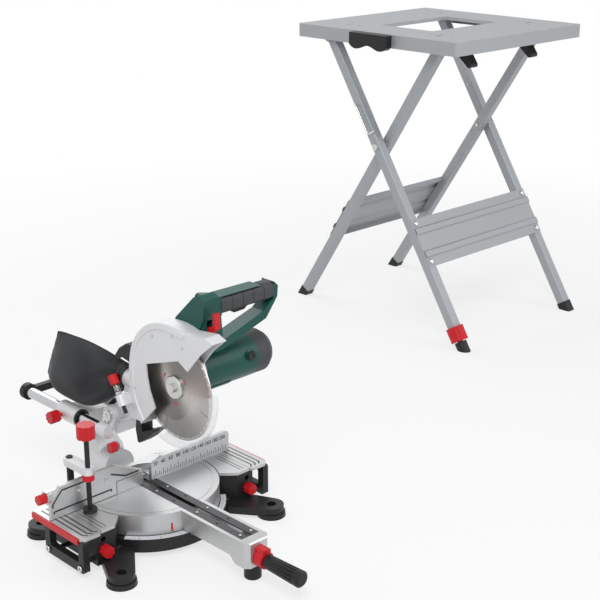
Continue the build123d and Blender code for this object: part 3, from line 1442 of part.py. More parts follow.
with BuildPart() as rear_panel:
    extrude(pressed_panel(panel_side(INNER_X + TUBE / 2, False)), amount=2 * INNER_X + TUBE)
    with BuildSketch(*[leg_plane(side * INNER_X, False, PANEL_AT - PANEL_W) for side in (-1, 1)]):
        Rectangle(TUBE + 1, TUBE)
    extrude(amount=2 * PANEL_W, mode=Mode.SUBTRACT)
    with BuildSketch(panel_face(False, PANEL_T)):
        with GridLocations(2 * INNER_X, PANEL_BOLTS, 2, 2):
            Circle(7)
    extrude(amount=4)

# Feet: three plastic caps and one screw-out foot on the left front leg
FLOOR = Plane(origin=(0, 0, 0), z_dir=(0, 0, 1))
with BuildPart() as outer_foot_cap:
    with BuildSketch(leg_plane(OUTER_X, True, -2 * CAP_CUT)):
        RectangleRounded(TUBE + 2 * FOOT_CAP_WALL, TUBE + 2 * FOOT_CAP_WALL, 5)
    extrude(amount=3 * CAP_CUT + FOOT_CAP_H)
    with BuildSketch(leg_plane(OUTER_X, True, CAP_CUT)):
        RectangleRounded(TUBE + 2 * SEAT_FIT, TUBE + 2 * SEAT_FIT, 3)
    extrude(amount=FOOT_CAP_H, mode=Mode.SUBTRACT)
    split(bisect_by=FLOOR, keep=Keep.TOP)

with BuildPart() as inner_foot_caps:
    with BuildSketch(leg_plane(-INNER_X, False, -2 * CAP_CUT), leg_plane(INNER_X, False, -2 * CAP_CUT)):
        RectangleRounded(TUBE + 2 * FOOT_CAP_WALL, TUBE + 2 * FOOT_CAP_WALL, 5)
    extrude(amount=3 * CAP_CUT + FOOT_CAP_H)
    with BuildSketch(leg_plane(-INNER_X, False, CAP_CUT), leg_plane(INNER_X, False, CAP_CUT)):
        RectangleRounded(TUBE + 2 * SEAT_FIT, TUBE + 2 * SEAT_FIT, 3)
    extrude(amount=FOOT_CAP_H, mode=Mode.SUBTRACT)
    split(bisect_by=FLOOR, keep=Keep.TOP)

with BuildPart() as foot_collar:
    extrude(
        fluted(
            leg_plane(-OUTER_X, True, STEM_CUT - COLLAR_LEN - SLIDE_GAP), (0, 0), FOOT_COLLAR_R, 14, 3
        ),
        amount=COLLAR_LEN,
    )
    with BuildSketch(leg_plane(-OUTER_X, True, STEM_CUT - COLLAR_LEN - SLIDE_GAP)):
        Circle(STEM_R + RUN_FIT)
    extrude(amount=COLLAR_LEN, mode=Mode.SUBTRACT)

with BuildPart() as foot_stem:
    with BuildSketch(leg_plane(-OUTER_X, True, -2 * CAP_CUT)):
        Circle(STEM_FOOT_R)
    extrude(amount=STEM_CUT - COLLAR_LEN - 2 + 2 * CAP_CUT)
    split(bisect_by=FLOOR, keep=Keep.TOP)
    with BuildSketch(leg_plane(-OUTER_X, True, STEM_CUT - COLLAR_LEN - 6)):
        Circle(STEM_R)
    extrude(amount=COLLAR_LEN + 46)

# Latches on the inner frame's bar and spring wires beside the crossing
with BuildPart() as stand_latches:
    for side in (-1, 1):
        with BuildSketch(stand_yz(side * LATCH_X)):
            with Locations((-TOP_Y, TOP_Z)):
                Circle(BAR_R + 4)
            with Locations((-TOP_Y - 46, TOP_Z - 50)):
                Circle(7)
            make_hull()
            with Locations((-TOP_Y, TOP_Z)):
                Circle(BAR_R + RUN_FIT, mode=Mode.SUBTRACT)
        extrude(amount=side * 30)

with BuildPart() as wire_clips:
    for side in (-1, 1):
        top = leg_plane(side * OUTER_X, True, CLIP_AT).origin
        low = leg_plane(side * OUTER_X, True, CROSS_AT + 40).origin
        out = side * (TUBE / 2 + 11)
        with BuildLine() as bend:
            FilletPolyline(
                (top.X - side * (TUBE / 2 + 2.5), top.Y, top.Z),
                (top.X + out, top.Y, top.Z),
                (low.X + out, low.Y, low.Z),
                (low.X + out - side * 8, low.Y - 16, low.Z + 10),
                radius=6,
            )
        with BuildSketch(Plane(origin=bend.line @ 0, z_dir=bend.line % 0)):
            Circle(WIRE_R)
        sweep(path=bend.line)

NODES = {
    "saw_base": saw_base,
    "saw_tables": saw_tables,
    "mitre_scale": mitre_scale,
    "fence_casting": fence_casting,
    "left_fence": left_fence,
    "fence_knob": fence_knob,
    "left_extension_frame": left_extension_frame,
    "left_extension_plate": left_extension_plate,
    "left_extension_trim": left_extension_trim,
    "right_extension_frame": right_extension_frame,
    "right_extension_plate": right_extension_plate,
    "right_extension_trim": right_extension_trim,
    "left_extension_knob": left_extension_knob,
    "right_extension_knob": right_extension_knob,
    "clamp_post": clamp_post,
    "clamp_arm": clamp_arm,
    "clamp_screw": clamp_screw,
    "clamp_knob": clamp_knob,
    "clamp_collar": clamp_collar,
    "turntable": turntable,
    "bevel_knuckle": bevel_knuckle,
    "kerf_plates": kerf_plates,
    "arm_foot": arm_foot,
    "mitre_handle": mitre_handle,
    "detent_lever": detent_lever,
    "bevel_post": bevel_post,
    "bevel_knob": bevel_knob,
    "slide_knob": slide_knob,
    "rails": rails,
    "rail_end_bracket": rail_end_bracket,
    "pivot_bracket": pivot_bracket,
    "pivot_pin": pivot_pin,
    "head_lock_pin": head_lock_pin,
    "upper_guard": upper_guard,
    "depth_stop": depth_stop,
    "chip_deflector": chip_deflector,
    "lower_guard": lower_guard,
    "blade": blade,
    "blade_flange": blade_flange,
    "gear_case": gear_case,
    "motor_housing": motor_housing,
    "motor_end_cap": motor_end_cap,
    "handle_body": handle_body,
    "handle_grip": handle_grip,
    "trigger": trigger,
    "release_lever": release_lever,
    "dust_bag": dust_bag,
    "stand_table": stand_table,
    "table_handle": table_handle,
    "outer_legs": outer_legs,
    "outer_frame_bolts": outer_frame_bolts,
    "inner_legs": inner_legs,
    "front_panel": front_panel,
    "rear_panel": rear_panel,
    "outer_foot_cap": outer_foot_cap,
    "inner_foot_caps": inner_foot_caps,
    "foot_collar": foot_collar,
    "foot_stem": foot_stem,
    "stand_latches": stand_latches,
    "wire_clips": wire_clips,
}
for node, piece in NODES.items():
    piece.part.label = node
    export_step(piece.part, "parts/" + node + ".step")
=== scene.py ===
"""Looks of the sliding mitre saw and its folding stand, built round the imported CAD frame."""
import json
import math

import bpy
import numpy as np
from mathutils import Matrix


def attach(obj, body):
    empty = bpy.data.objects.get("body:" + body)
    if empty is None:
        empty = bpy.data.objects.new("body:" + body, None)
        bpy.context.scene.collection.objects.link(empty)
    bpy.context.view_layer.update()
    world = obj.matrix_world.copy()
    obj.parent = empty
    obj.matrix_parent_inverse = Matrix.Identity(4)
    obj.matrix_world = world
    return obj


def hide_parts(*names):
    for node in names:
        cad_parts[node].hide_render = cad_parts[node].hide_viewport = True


bl_info = {
    "name": "Mitre Saw and Stand",
    "version": (1, 0, 0),
    "blender": (4, 5, 0),
    "location": "View3D > Sidebar > Saw",
    "description": "Finishes and small pieces of a sliding mitre saw and its folding stand",
    "category": "Object",
}

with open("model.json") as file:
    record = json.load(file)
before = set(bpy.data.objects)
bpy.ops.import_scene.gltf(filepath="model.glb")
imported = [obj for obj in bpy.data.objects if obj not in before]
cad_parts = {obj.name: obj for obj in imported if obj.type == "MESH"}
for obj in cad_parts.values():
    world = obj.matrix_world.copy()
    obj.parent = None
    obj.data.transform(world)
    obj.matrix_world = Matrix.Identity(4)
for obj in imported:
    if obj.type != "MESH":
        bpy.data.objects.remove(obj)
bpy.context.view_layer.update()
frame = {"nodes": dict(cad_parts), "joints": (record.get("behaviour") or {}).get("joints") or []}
NODES = frame["nodes"]
AXES = {joint["name"]: np.array(joint["pos_m"]) for joint in frame["joints"] if joint.get("pos_m")}
MM = 0.001
TAU = 2 * math.pi

# Places in metres: the saw under its mitre axis, the stand under its scissor axis
SAW = AXES["mitre"] * (1, 1, 0)
STAND = AXES["scissor"] * (1, 1, 0)
LEFT, FRONT, REAR, UP = (-1, 0, 0), (0, -1, 0), (0, 1, 0), (0, 0, 1)

# Saw: millimetres from the turntable's axis on the floor; a profile is a list of radius and height
TABLE_Z = 85.0
EXTENSIONS = ((-1, "left_extension"), (1, "right_extension"))

# Blade: spindle, teeth, a tip's outline (outwards, onwards) and the printed arcs
BLADE_AXIS = AXES["blade_spin"]
BLADE_Y, BLADE_Z = (BLADE_AXIS - SAW)[1:] / MM
BLADE_R, BLADE_FACE, TEETH = 108.0, -1.2, 40
TIP_IN, TIP_HALF = 3.4, 1.45
TIP = np.array([(-3.0, -0.6), (3.2, 0.4), (3.2, -2.3), (-3.0, -3.2)])
ARCS, ARC_R, ARC_WIDE, ARC_START, ARC_SWEEP, ARC_SAMPLES = 3, 35.0, 3.2, 0.35, 0.32, 14

# Hood: its outline (y, z), the rim band's section (inwards, off the face) and its screws
GUARD_X = -22.0
HOOD = [(-15, 227), (12, 272), (18, 325), (4, 392), (-38, 440), (-95, 460), (-160, 455)]
RIM = np.array([(0.2, 0.0), (0.2, -0.8), (1.4, -2.0), (12.5, -2.0), (14.5, 0.0)])
RIM_SAMPLES = 90
GUARD_SCREWS, GUARD_SCREW_R = [(2, 300), (-60, 425), (-150, 425), (-120, 440)], 3.0

# Depth stop: its leaning rod with a knob, a nut and a spring, and the ribbed scale beside it
STOP_TOP = np.array([-37.0, 45.0, 298.0])
STOP_LEAN = math.radians(30.46)
STOP_DOWN = np.array([0.0, -math.sin(STOP_LEAN), -math.cos(STOP_LEAN)])
STOP_ACROSS = np.array([0.0, math.cos(STOP_LEAN), -math.sin(STOP_LEAN)])
STOP_KNOB = [(0, -20.6), (8.2, -20.6), (9.7, -19), (9.7, -1.6), (8.6, 0.3), (4.3, 0.3)]
STOP_NUT = [(4.1, 15.8), (6.6, 15.8), (7.2, 16.4), (7.2, 20.6), (6.6, 21.2), (4.1, 21.2), (4.1, 15.8)]
SPRING_R, SPRING_WIRE, SPRING_TURNS, SPRING_SAMPLES = 5.6, 0.8, 5, 150
SPRING_FROM, SPRING_LONG = 1.5, 12.5
RIB_FOOT = np.array([GUARD_X, 12.0, 264.0])
RIBS, RIB_STEP, RIB_HALF, RIB_WIDE = 9, 4.2, 4.0, 2.2

# Dust bag: ridge and keel (y, z), half width and middle from the neck to the rear seam, depths of folds
BAG_TOP = [(42, 329), (62, 334), (105, 345), (165, 351), (222, 350), (252, 348), (270, 345)]
BAG_LOW = [(42, 281), (66, 268), (104, 240), (150, 216), (235, 215), (285, 222), (320, 236)]
BAG_HALF = [21, 22.5, 38, 46, 42, 24, 2.5]
BAG_X = [-4, -4, -10, -14, -16, -16, -16]
BAG_ROWS, BAG_COLUMNS = 120, 96
NECK_FOLD, PLEAT_FOLD, REAR_FOLD = 3.0, 2.0, 2.2
SLACK_FOLD, SMALL_SLACK_FOLD, CREASE_FOLD = 4.0, 2.0, 2.4
# Fold depth that spans the fold map, from painted shade in the hollows to painted light on the ridges
FOLD_SPAN = 9.0
PIPING_FROM = 2
COLLAR_AT = (-4, 40, 305)
COLLAR = [(19.8, 0), (24.2, 0), (24.2, 3), (23.4, 4), (23.4, 11), (24.2, 12), (24.2, 15), (20.5, 15)]

# Cloth: the metres that its map spans round and along the bag, and its threads to a metre
CLOTH_ROUND, CLOTH_LONG, THREADS = 0.36, 0.3, 420.0

# Rule on the right fence: its plate, and ticks and figures that stand at their own millimetres
RULE_FROM, RULE_TO, RULE_Z, RULE_TALL = 10.5, 217.0, 107.5, 42.0
RULE_TICKS, TICK_FOOT, TICK_WIDE = range(15, 213, 5), 88.0, 1.3
TICK_HIGH = {20: 15.0, 10: 12.0, 5: 8.0}
RULE_FIGURES, FIGURE_Z, FIGURE_OFF = range(20, 201, 20), 119.0, 0.13

# Mitre scale: the degrees it spans, its height, and the radii of its marks and figures
MITRE_MOST, MITRE_LONG_EVERY, MITRE_FIGURE_EVERY = 50, 5, 15
MITRE_Z, MITRE_WIDE, MITRE_FIGURE, MITRE_FIGURE_OFF = 42.0, 0.35, 3.6, 0.08
MITRE_OUT, MITRE_SHORT, MITRE_LONG, MITRE_FIGURE_R = 154.0, 150.0, 148.5, 156.0

# Dark strips in the grooves: lines (x, z) on the left fence, and places on the extensions and the tables
FENCE_GROOVES = [
    [(-228, 96), (-228, 101), (-92, 101), (-92, 96)],
    [(-230, 110), (-230, 117), (-208, 141), (-150, 141)],
    [(-92, 134), (-56, 119), (-24, 119)],
]
FENCE_GROOVE_WIDE, EXTENSION_GROOVE_WIDE, TABLE_GROOVE_WIDE = 3.6, 3.2, 1.8
EXTENSION_GROOVES = (203.5, 214.5, 225.5)
EXTENSION_REAR_Y, EXTENSION_BEND_Y, EXTENSION_END_Y, EXTENSION_BEND_IN = 48, -88, -96, 7
TABLE_GROOVES, TABLE_GROOVE_Y, TABLE_GROOVE_Z = (-180, -172, 172, 180), (-89, -11), 84.0

# Fasteners: a screw's head in shares of its radius, screws, rail seals, brush cap and mitre pointer
SCREW_HEAD = np.array([(1.0, 0.55), (0.86, 0.7), (0.5, 0.7), (0.42, 0.2), (0.0, 0.2)])
SCREW_SUNK = 0.2
KERF_SCREWS = [(x, y, TABLE_Z) for x in (-13.5, 13.5) for y in (-296, -170, -45, 32)]
KERF_SCREW_R = 2.6
EXTENSION_SCREW_X, EXTENSION_SCREW_Y, EXTENSION_SCREW_Z, EXTENSION_SCREW_R = 237.5, (-94, 12), 22, 6.2
RAIL_X, RAIL_Z, POST_FRONT = 44, 190, 162
RAIL_SEAL = [(12.35, 0), (18.5, 0), (18.5, 2.0), (17.5, 3.0), (13.4, 3.0), (12.35, 2.0), (12.35, 0)]
BRUSH_AT = (146, -157, 366)
BRUSH_CAP = [(9.7, 0), (9.7, 2.6), (8.6, 3.3), (6.2, 3.3), (5.6, 2.7), (0, 2.7)]
POINTER_TURN = math.radians(20)
POINTER_OUT = np.array([-math.sin(POINTER_TURN), -math.cos(POINTER_TURN), 0.0])
POINTER_TOP = POINTER_OUT * 146.3 + (0, 0, 62)
POINTER_TIP = POINTER_OUT * 146.7 + (0, 0, 47)
POINTER_R, POINTER_SAMPLES = 1.6, 9

# Stand: millimetres from the middle of its table on the floor
LEG_TOP_Y, LEG_TOP_Z = (AXES["stand_fold"] - STAND)[1:] / MM
LEG_FOOT_Y = 330.0
LEG_SLOPE = math.atan2(LEG_TOP_Y + LEG_FOOT_Y, LEG_TOP_Z)
OUTER_X, INNER_X = 245, 210
PANEL_AT, PANEL_FACE, PANEL_BOLT = 318.0, 15.5, 57.0
BOLT = [(8.4, 0), (8.4, 1.6), (7.6, 4.3), (4.5, 5.6), (0, 6.0)]

# Samples of the surfaces: sides of a tube, steps round a screw, millimetres between a band's points
TUBE_SIDES, SCREW_STEPS, BAND_STEP = 8, 18, 4.0
LETTER_WEIGHT, LETTER_STEPS = 0.02, 3

# Stage in metres: floor, sky, lamps (name, place, width, power) and camera
FLOOR_RINGS, FLOOR_STEPS = np.array([40.0, 16.0, 8.0, 4.0, 2.0, 1.0, 0.0]), 48
FLOOR_CLEAR, FLOOR_FADE, FLOOR_NEAR = 1.2, 1.5, 0.7
WHITE, FLOOR_GREY = (1.0, 1.0, 1.0, 1.0), (0.9, 0.9, 0.9, 1.0)
SKY, SKY_POWER = (0.95, 0.97, 1.0, 1.0), 0.42
BACKDROP_RAYS = ("Is Camera Ray", "Is Glossy Ray", "Is Transmission Ray")
LAMPS = (
    ("key", (-1.9, -1.6, 2.7), 1.6, 48.0),
    ("fill", (1.6, -2.4, 1.7), 1.8, 22.0),
    ("back", (0.3, 2.6, 2.3), 2.0, 30.0),
)
LAMP_AIM = (0.0, 0.0, 0.35)
CAMERA, CAMERA_AIM = (-2.188, -2.107, 1.30), (-0.075, 0.050, 0.257)
SENSOR_MM, CAMERA_FAR = 36.0, 200.0

# Looks that change over a piece, in metres from the blade's axis: where they start and fade in
TIP_BRIGHT_FROM, TIP_BRIGHT_FADE = 0.1015, 0.002
# Guard's rim: a painted highlight, more opaque towards its edge
RIM_HIGHLIGHT_FROM, RIM_HIGHLIGHT_FADE = 0.1135, 0.005
GROUND_ALONG_X, GROUND_ALONG_Y = (30, 2200, 2200), (2200, 30, 2200)
STIPPLE = (1100, 1100, 1100)


class Value:
    """A socket of a node tree; sums, products and powers of values add Math nodes."""

    def __init__(self, shading, socket):
        self.shading = shading
        self.socket = socket

    def _math(self, operation, *terms):
        return self.shading.node("ShaderNodeMath", {"operation": operation}, dict(enumerate(terms)))

    def __add__(self, other):
        return self._math("ADD", self, other)

    def __radd__(self, other):
        return self._math("ADD", other, self)

    def __sub__(self, other):
        return self._math("SUBTRACT", self, other)

    def __rsub__(self, other):
        return self._math("SUBTRACT", other, self)

    def __mul__(self, other):
        return self._math("MULTIPLY", self, other)

    def __rmul__(self, other):
        return self._math("MULTIPLY", other, self)

    def __truediv__(self, other):
        return self._math("DIVIDE", self, other)

    def __rtruediv__(self, other):
        return self._math("DIVIDE", other, self)

    def __pow__(self, other):
        return self._math("POWER", self, other)

    def __rpow__(self, other):
        return self._math("POWER", other, self)

    def sine(self):
        return self._math("SINE", self)

    def clamped(self):
        return self.shading.node("ShaderNodeClamp", {}, {0: self})


class Shading:
    """A node tree being built, emptied first."""

    def __init__(self, tree):
        self.tree = tree
        tree.nodes.clear()

    def node(self, kind, settings, feeds, out=0):
        """Adds a node, sets its settings first, then feeds its sockets; gives an output, or the node."""
        made = self.tree.nodes.new(kind)
        for key, setting in settings.items():
            setattr(made, key, setting)
        self.feed(made, feeds)
        return Value(self, made.outputs[out]) if made.outputs else made

    def feed(self, made, feeds):
        """Links values to a node's sockets, or sets the sockets to numbers."""
        for key, feed in feeds.items():
            if isinstance(feed, Value):
                self.tree.links.new(feed.socket, made.inputs[key])
            else:
                made.inputs[key].default_value = feed

    def backdrop(self):
        """1 for rays that see the backdrop itself, in a gloss or through clear plastic, and else 0."""
        first, *others = [self.node("ShaderNodeLightPath", {}, {}, out=ray) for ray in BACKDROP_RAYS]
        return sum(others, first).clamped()


class Finish(Shading):
    """A material being built: one Principled shader and the nodes that feed it."""

    def __init__(self, name):
        self.material = bpy.data.materials.new(name)
        self.material.use_nodes = True
        super().__init__(self.material.node_tree)
        self.surface = self.node("ShaderNodeBsdfPrincipled", {}, {})
        self.output = self.node("ShaderNodeOutputMaterial", {}, {0: self.surface})

    def place(self, scale=(1, 1, 1), shift=(0, 0, 0)):
        """Object coordinates in metres, moved by shift and stretched by scale."""
        coords = self.node("ShaderNodeTexCoord", {}, {}, out="Object")
        moved = self.node("ShaderNodeVectorMath", {"operation": "ADD"}, {0: coords, 1: shift})
        return self.node("ShaderNodeMapping", {}, {"Vector": moved, "Scale": scale})

    def axes(self, vector):
        """The three numbers of a vector."""
        split = self.node("ShaderNodeSeparateXYZ", {}, {0: vector}).socket.node
        return [Value(self, socket) for socket in split.outputs]

    def noise(self, vector, scale, detail=3.0, roughness=0.5):
        feeds = {"Vector": vector, "Scale": scale, "Detail": detail, "Roughness": roughness}
        return self.node("ShaderNodeTexNoise", {}, feeds)

    def rings(self, radius, scale, detail):
        """Noise that depends on a radius alone."""
        feeds = {"W": radius * scale, "Detail": detail}
        return self.node("ShaderNodeTexNoise", {"noise_dimensions": "1D"}, feeds)

    def mix(self, share, first, second):
        """Colour between first and second by share."""
        feeds = {0: share, 6: first, 7: second}
        return self.node("ShaderNodeMix", {"data_type": "RGBA"}, feeds, out=2)

    def shade(self, share, colour, dark, light):
        """Colour between its dark and its light gain by share."""
        return self.mix(share, rgb(colour, dark), rgb(colour, light))

    def bump(self, height, strength, distance):
        feeds = {"Height": height, "Strength": strength, "Distance": distance}
        return self.node("ShaderNodeBump", {}, feeds)

    def set(self, **feeds):
        """Feeds the shader's sockets; underscores in the names stand for spaces."""
        named = {key.replace("_", " "): feed for key, feed in feeds.items()}
        self.feed(self.surface.socket.node, named)
        return self.material


def rgb(colour, gain=1.0):
    """A colour property as four numbers, brightened by gain."""
    return (*[min(1.0, c * gain) for c in colour[:3]], 1.0)


def moulded(name, colour, rough, grain, coat=0.0):
    """Moulded plastic: spark-eroded grain in the bump, faint cloudiness in the gloss."""
    f = Finish(name)
    here = f.place()
    cloud = f.noise(here, scale=9.0, detail=2.0)
    pits = f.noise(here, scale=1400.0, detail=2.0, roughness=0.6)
    f.set(Base_Color=f.shade(cloud, colour, dark=0.88, light=1.12))
    f.set(Roughness=rough - 0.05 + 0.1 * cloud + 0.06 * pits)
    f.set(Normal=f.bump(pits, strength=grain, distance=0.0004), Specular_IOR_Level=0.3)
    return f.set(Coat_Weight=coat)


def cast_black(name, colour):
    """Black enamelled casting: skin texture of the mould under a satin coat."""
    f = Finish(name)
    here = f.place()
    sand = f.noise(here, scale=420.0, detail=4.0, roughness=0.6)
    cloud = f.noise(here, scale=14.0)
    f.set(Base_Color=f.shade(cloud, colour, dark=0.8, light=1.35))
    f.set(Roughness=0.34 + 0.12 * sand + 0.08 * cloud)
    f.set(Normal=f.bump(sand, strength=0.22, distance=0.0005))
    return f.set(Specular_IOR_Level=0.3, Coat_Weight=0.04)


def blasted_cast(name, colour):
    """Bead-blasted alloy casting: fine pits and a soft, even sheen."""
    f = Finish(name)
    here = f.place()
    pits = f.noise(here, scale=900.0, roughness=0.65)
    cloud = f.noise(here, scale=11.0)
    f.set(Base_Color=f.shade(cloud, colour, dark=0.94, light=1.05))
    f.set(Metallic=0.35, Roughness=0.4 + 0.1 * pits + 0.06 * cloud)
    return f.set(Normal=f.bump(pits, strength=0.14, distance=0.0004))


def machined(name, colour, stretch, rough=0.27):
    """Ground alloy: hair-fine lines along one axis, uneven in gloss."""
    f = Finish(name)
    lines = f.noise(f.place(scale=stretch), scale=1.0, roughness=0.7)
    cloud = f.noise(f.place(), scale=13.0)
    f.set(Base_Color=f.shade(lines, colour, dark=0.86, light=1.1))
    f.set(Metallic=0.92, Roughness=rough + 0.14 * lines + 0.1 * cloud)
    return f.set(Normal=f.bump(lines, strength=0.1, distance=0.0003))


def turned(name, colour):
    """Turntable alloy: rings of the lathe about the upright axis, dull on the drum's side."""
    f = Finish(name)
    x, y, _ = f.axes(f.place(shift=tuple(-SAW)))
    rings = f.rings((x * x + y * y) ** 0.5, scale=900.0, detail=3.0)
    cloud = f.noise(f.place(), scale=12.0)
    f.set(Base_Color=f.shade(rings, colour, dark=0.9, light=1.08))
    f.set(Metallic=0.85, Roughness=0.26 + 0.12 * rings + 0.12 * cloud)
    return f.set(Normal=f.bump(rings, strength=0.06, distance=0.0003))


def ground_blade(name, colour):
    """Blade steel: rings of the grinder about the spindle, and two bright fans of painted reflection as a
    turned disc shows under light.
    """
    f = Finish(name)
    _, y, z = f.axes(f.place(shift=tuple(-BLADE_AXIS)))
    radius = (y * y + z * z) ** 0.5
    rings = f.rings(radius, scale=1500.0, detail=4.0)
    angle = f.node("ShaderNodeMath", {"operation": "ARCTAN2"}, {0: z, 1: y})
    # Painted highlight: two bright fans of reflection across the disc, darker above and below
    painted_fan_highlight = ((angle * 2.0 + 0.9).sine() * 0.5 + 0.5) ** 2.0
    tips = ((radius - TIP_BRIGHT_FROM) / TIP_BRIGHT_FADE).clamped()
    disc = f.shade(painted_fan_highlight, colour, dark=0.34, light=1.25)
    body = f.mix(rings * 0.5, disc, rgb(colour, 0.7))
    f.set(Base_Color=f.mix(tips * 0.7, body, rgb(colour, 1.3)))
    f.set(Metallic=0.95, Roughness=0.22 + 0.16 * rings)
    return f.set(Normal=f.bump(rings, strength=0.08, distance=0.0002))


def plated(name, colour, rough):
    """Plated steel: near-clean gloss with faint handling marks."""
    f = Finish(name)
    marks = f.noise(f.place(), scale=60.0, detail=4.0, roughness=0.6)
    f.set(Base_Color=f.shade(marks, colour, dark=0.9, light=1.06))
    return f.set(Metallic=1.0, Roughness=rough + 0.08 * marks)


def powder_coat(name, colour):
    """Powder-coated sheet: orange-peel bump and a metal-flake speckle."""
    f = Finish(name)
    here = f.place()
    peel = f.noise(here, scale=380.0, detail=2.0)
    flake = f.noise(here, scale=2600.0, detail=1.0)
    cloud = f.noise(here, scale=5.0)
    f.set(Base_Color=f.shade(flake * 0.6 + cloud * 0.4, colour, dark=0.84, light=1.14))
    f.set(Metallic=0.3, Roughness=0.4 + 0.1 * peel + 0.06 * cloud)
    return f.set(Normal=f.bump(peel, strength=0.1, distance=0.0005))


def clear_sheet(name, colour):
    """Clear guard plastic: see-through cheeks, a paler rim painted in as the highlight of light gathered in
    its edge, faint scuffs.
    """
    f = Finish(name)
    _, y, z = f.axes(f.place(shift=tuple(-BLADE_AXIS)))
    radius = (y * y + z * z) ** 0.5
    # Painted highlight: the rim grows more opaque, so its pale colour shows as gathered light
    rim = ((radius - RIM_HIGHLIGHT_FROM) / RIM_HIGHLIGHT_FADE).clamped()
    scuff = f.noise(f.place(), scale=130.0, detail=5.0, roughness=0.7)
    f.set(Base_Color=rgb(colour), Roughness=0.05 + 0.14 * scuff)
    return f.set(Alpha=0.06 + 0.12 * scuff ** 3.0 + 0.2 * rim, Coat_Weight=0.4)


def rubber_grip(name, colour):
    """Rubber overmould: fine stipple in diagonal rows."""
    f = Finish(name)
    x, y, z = f.axes(f.place(scale=STIPPLE))
    dots = (x + z).sine() * (x - y).sine()
    cloud = f.noise(f.place(), scale=16.0, detail=2.0)
    f.set(Base_Color=f.shade(cloud, colour, dark=0.8, light=1.25))
    f.set(Roughness=0.58 + 0.08 * dots)
    return f.set(Normal=f.bump(dots, strength=0.2, distance=0.0004))


def woven(name, colour):
    """Plain weave on the bag's own maps: lighter crowns of the threads, random wear, painted light on the
    fold ridges and painted shade in the fold hollows.
    """
    f = Finish(name)
    x, y, _ = f.axes(f.node("ShaderNodeUVMap", {"uv_map": "cloth"}, {}))
    # Fold map: painted shade in the fold hollows and painted light on the ridges
    fold = f.axes(f.node("ShaderNodeUVMap", {"uv_map": "fold"}, {}))[0]
    warp = (x * TAU * THREADS).sine()
    weft = (y * TAU * THREADS).sine()
    thread = warp * weft * 0.5 + 0.5
    worn = f.noise(f.place(), scale=22.0, detail=4.0)
    # Painted light and shade: the fold map lightens the ridges and darkens the hollows; thread and wear are
    # the cloth's own tone
    light = thread * 0.2 + worn * 0.2 + fold * 0.6
    f.set(Base_Color=f.shade(light, colour, dark=0.4, light=2.1))
    f.set(Roughness=0.58 + 0.12 * thread, Specular_IOR_Level=0.25, Sheen_Weight=0.06)
    return f.set(Normal=f.bump(thread, strength=0.25, distance=0.0004))


def ink(name, colour):
    """Printed mark or dark groove strip: flat colour with a slightly uneven film."""
    f = Finish(name)
    film = f.noise(f.place(), scale=300.0, detail=2.0)
    f.set(Base_Color=f.shade(film, colour, dark=0.85, light=1.15))
    return f.set(Roughness=0.45 + 0.15 * film)


def skin(rows, columns):
    """Quads of a grid whose rows are closed rings: a point, the next on its ring, and both a row on."""
    i, j = [a.ravel() for a in np.meshgrid(np.arange(rows - 1), np.arange(columns), indexing="ij")]
    here, onward = i * columns + j, i * columns + (j + 1) % columns
    return np.stack([here, onward, onward + columns, here + columns], 1).tolist()


def capped(rows, columns):
    """The same quads, with the first and the last ring closed by a face each."""
    last = (rows - 1) * columns
    return [*skin(rows, columns), [*range(columns)][::-1], [*range(last, last + columns)]]


def joined(shapes):
    """Points and faces of several shapes as one shape."""
    points, faces, start = [], [], 0
    for p, f in shapes:
        points.append(np.asarray(p, float))
        faces.extend([[int(i) + start for i in row] for row in f])
        start += len(p)
    return np.concatenate(points), faces


def shown(name, points, faces, material, smooth=True):
    """A mesh of points in metres, linked to the scene."""
    mesh = bpy.data.meshes.new(name)
    mesh.from_pydata(np.asarray(points, float).tolist(), [], faces)
    mesh.update()
    mesh.validate()
    mesh.polygons.foreach_set("use_smooth", np.full(len(mesh.polygons), smooth))
    mesh.materials.append(material)
    made = bpy.data.objects.new(name, mesh)
    bpy.context.scene.collection.objects.link(made)
    return made


def piece(name, shapes, finish, body, smooth=True, origin=SAW):
    """Joins shapes in millimetres from the saw's or the stand's origin and lets them ride on a CAD body."""
    points, faces = joined(shapes)
    made = shown(name, points * MM + origin, faces, finishes()[finish], smooth)
    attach(made, body)
    return made


def smooth_line(points, count):
    """Catmull-Rom curve through points, count samples spread evenly over its knots.

    Between knots b and c, with a before and d after them, it is half of the sum of 2b, (c - a) s,
    (2a - 5b + 4c - d) s^2 and (3b - a - 3c + d) s^3, as s goes from 0 to 1.
    """
    p = np.asarray(points, float)
    p = np.vstack([2 * p[0] - p[1], p, 2 * p[-1] - p[-2]])
    t = np.linspace(0, len(p) - 3 - 1e-9, count)
    i = t.astype(int)
    s = (t - i)[:, None]
    a, b, c, d = p[i], p[i + 1], p[i + 2], p[i + 3]
    curved = (2 * a - 5 * b + 4 * c - d) * s**2 + (3 * b - a - 3 * c + d) * s**3
    return 0.5 * (2 * b + (c - a) * s + curved)


def ring_of(steps, side, up):
    """Unit circle: side times cos a plus up times sin a, as a goes once round."""
    a = (np.arange(steps) * TAU / steps)[:, None]
    return np.cos(a) * side + np.sin(a) * up


def unit(vectors):
    """Vectors made one long."""
    return vectors / np.linalg.norm(vectors, axis=-1, keepdims=True)


def tube(path, radius):
    """Circle carried along a path: a point of the path plus radius times a ring square to the tangent."""
    p = np.asarray(path, float)
    tangent = unit(np.gradient(p, axis=0))
    guide = np.array([0.13, 0.31, 0.94])
    side = unit(np.cross(tangent, guide))
    up = np.cross(tangent, side)
    ring = ring_of(TUBE_SIDES, side[:, None], up[:, None])
    return (p[:, None] + radius * ring).reshape(-1, 3), capped(len(p), TUBE_SIDES)


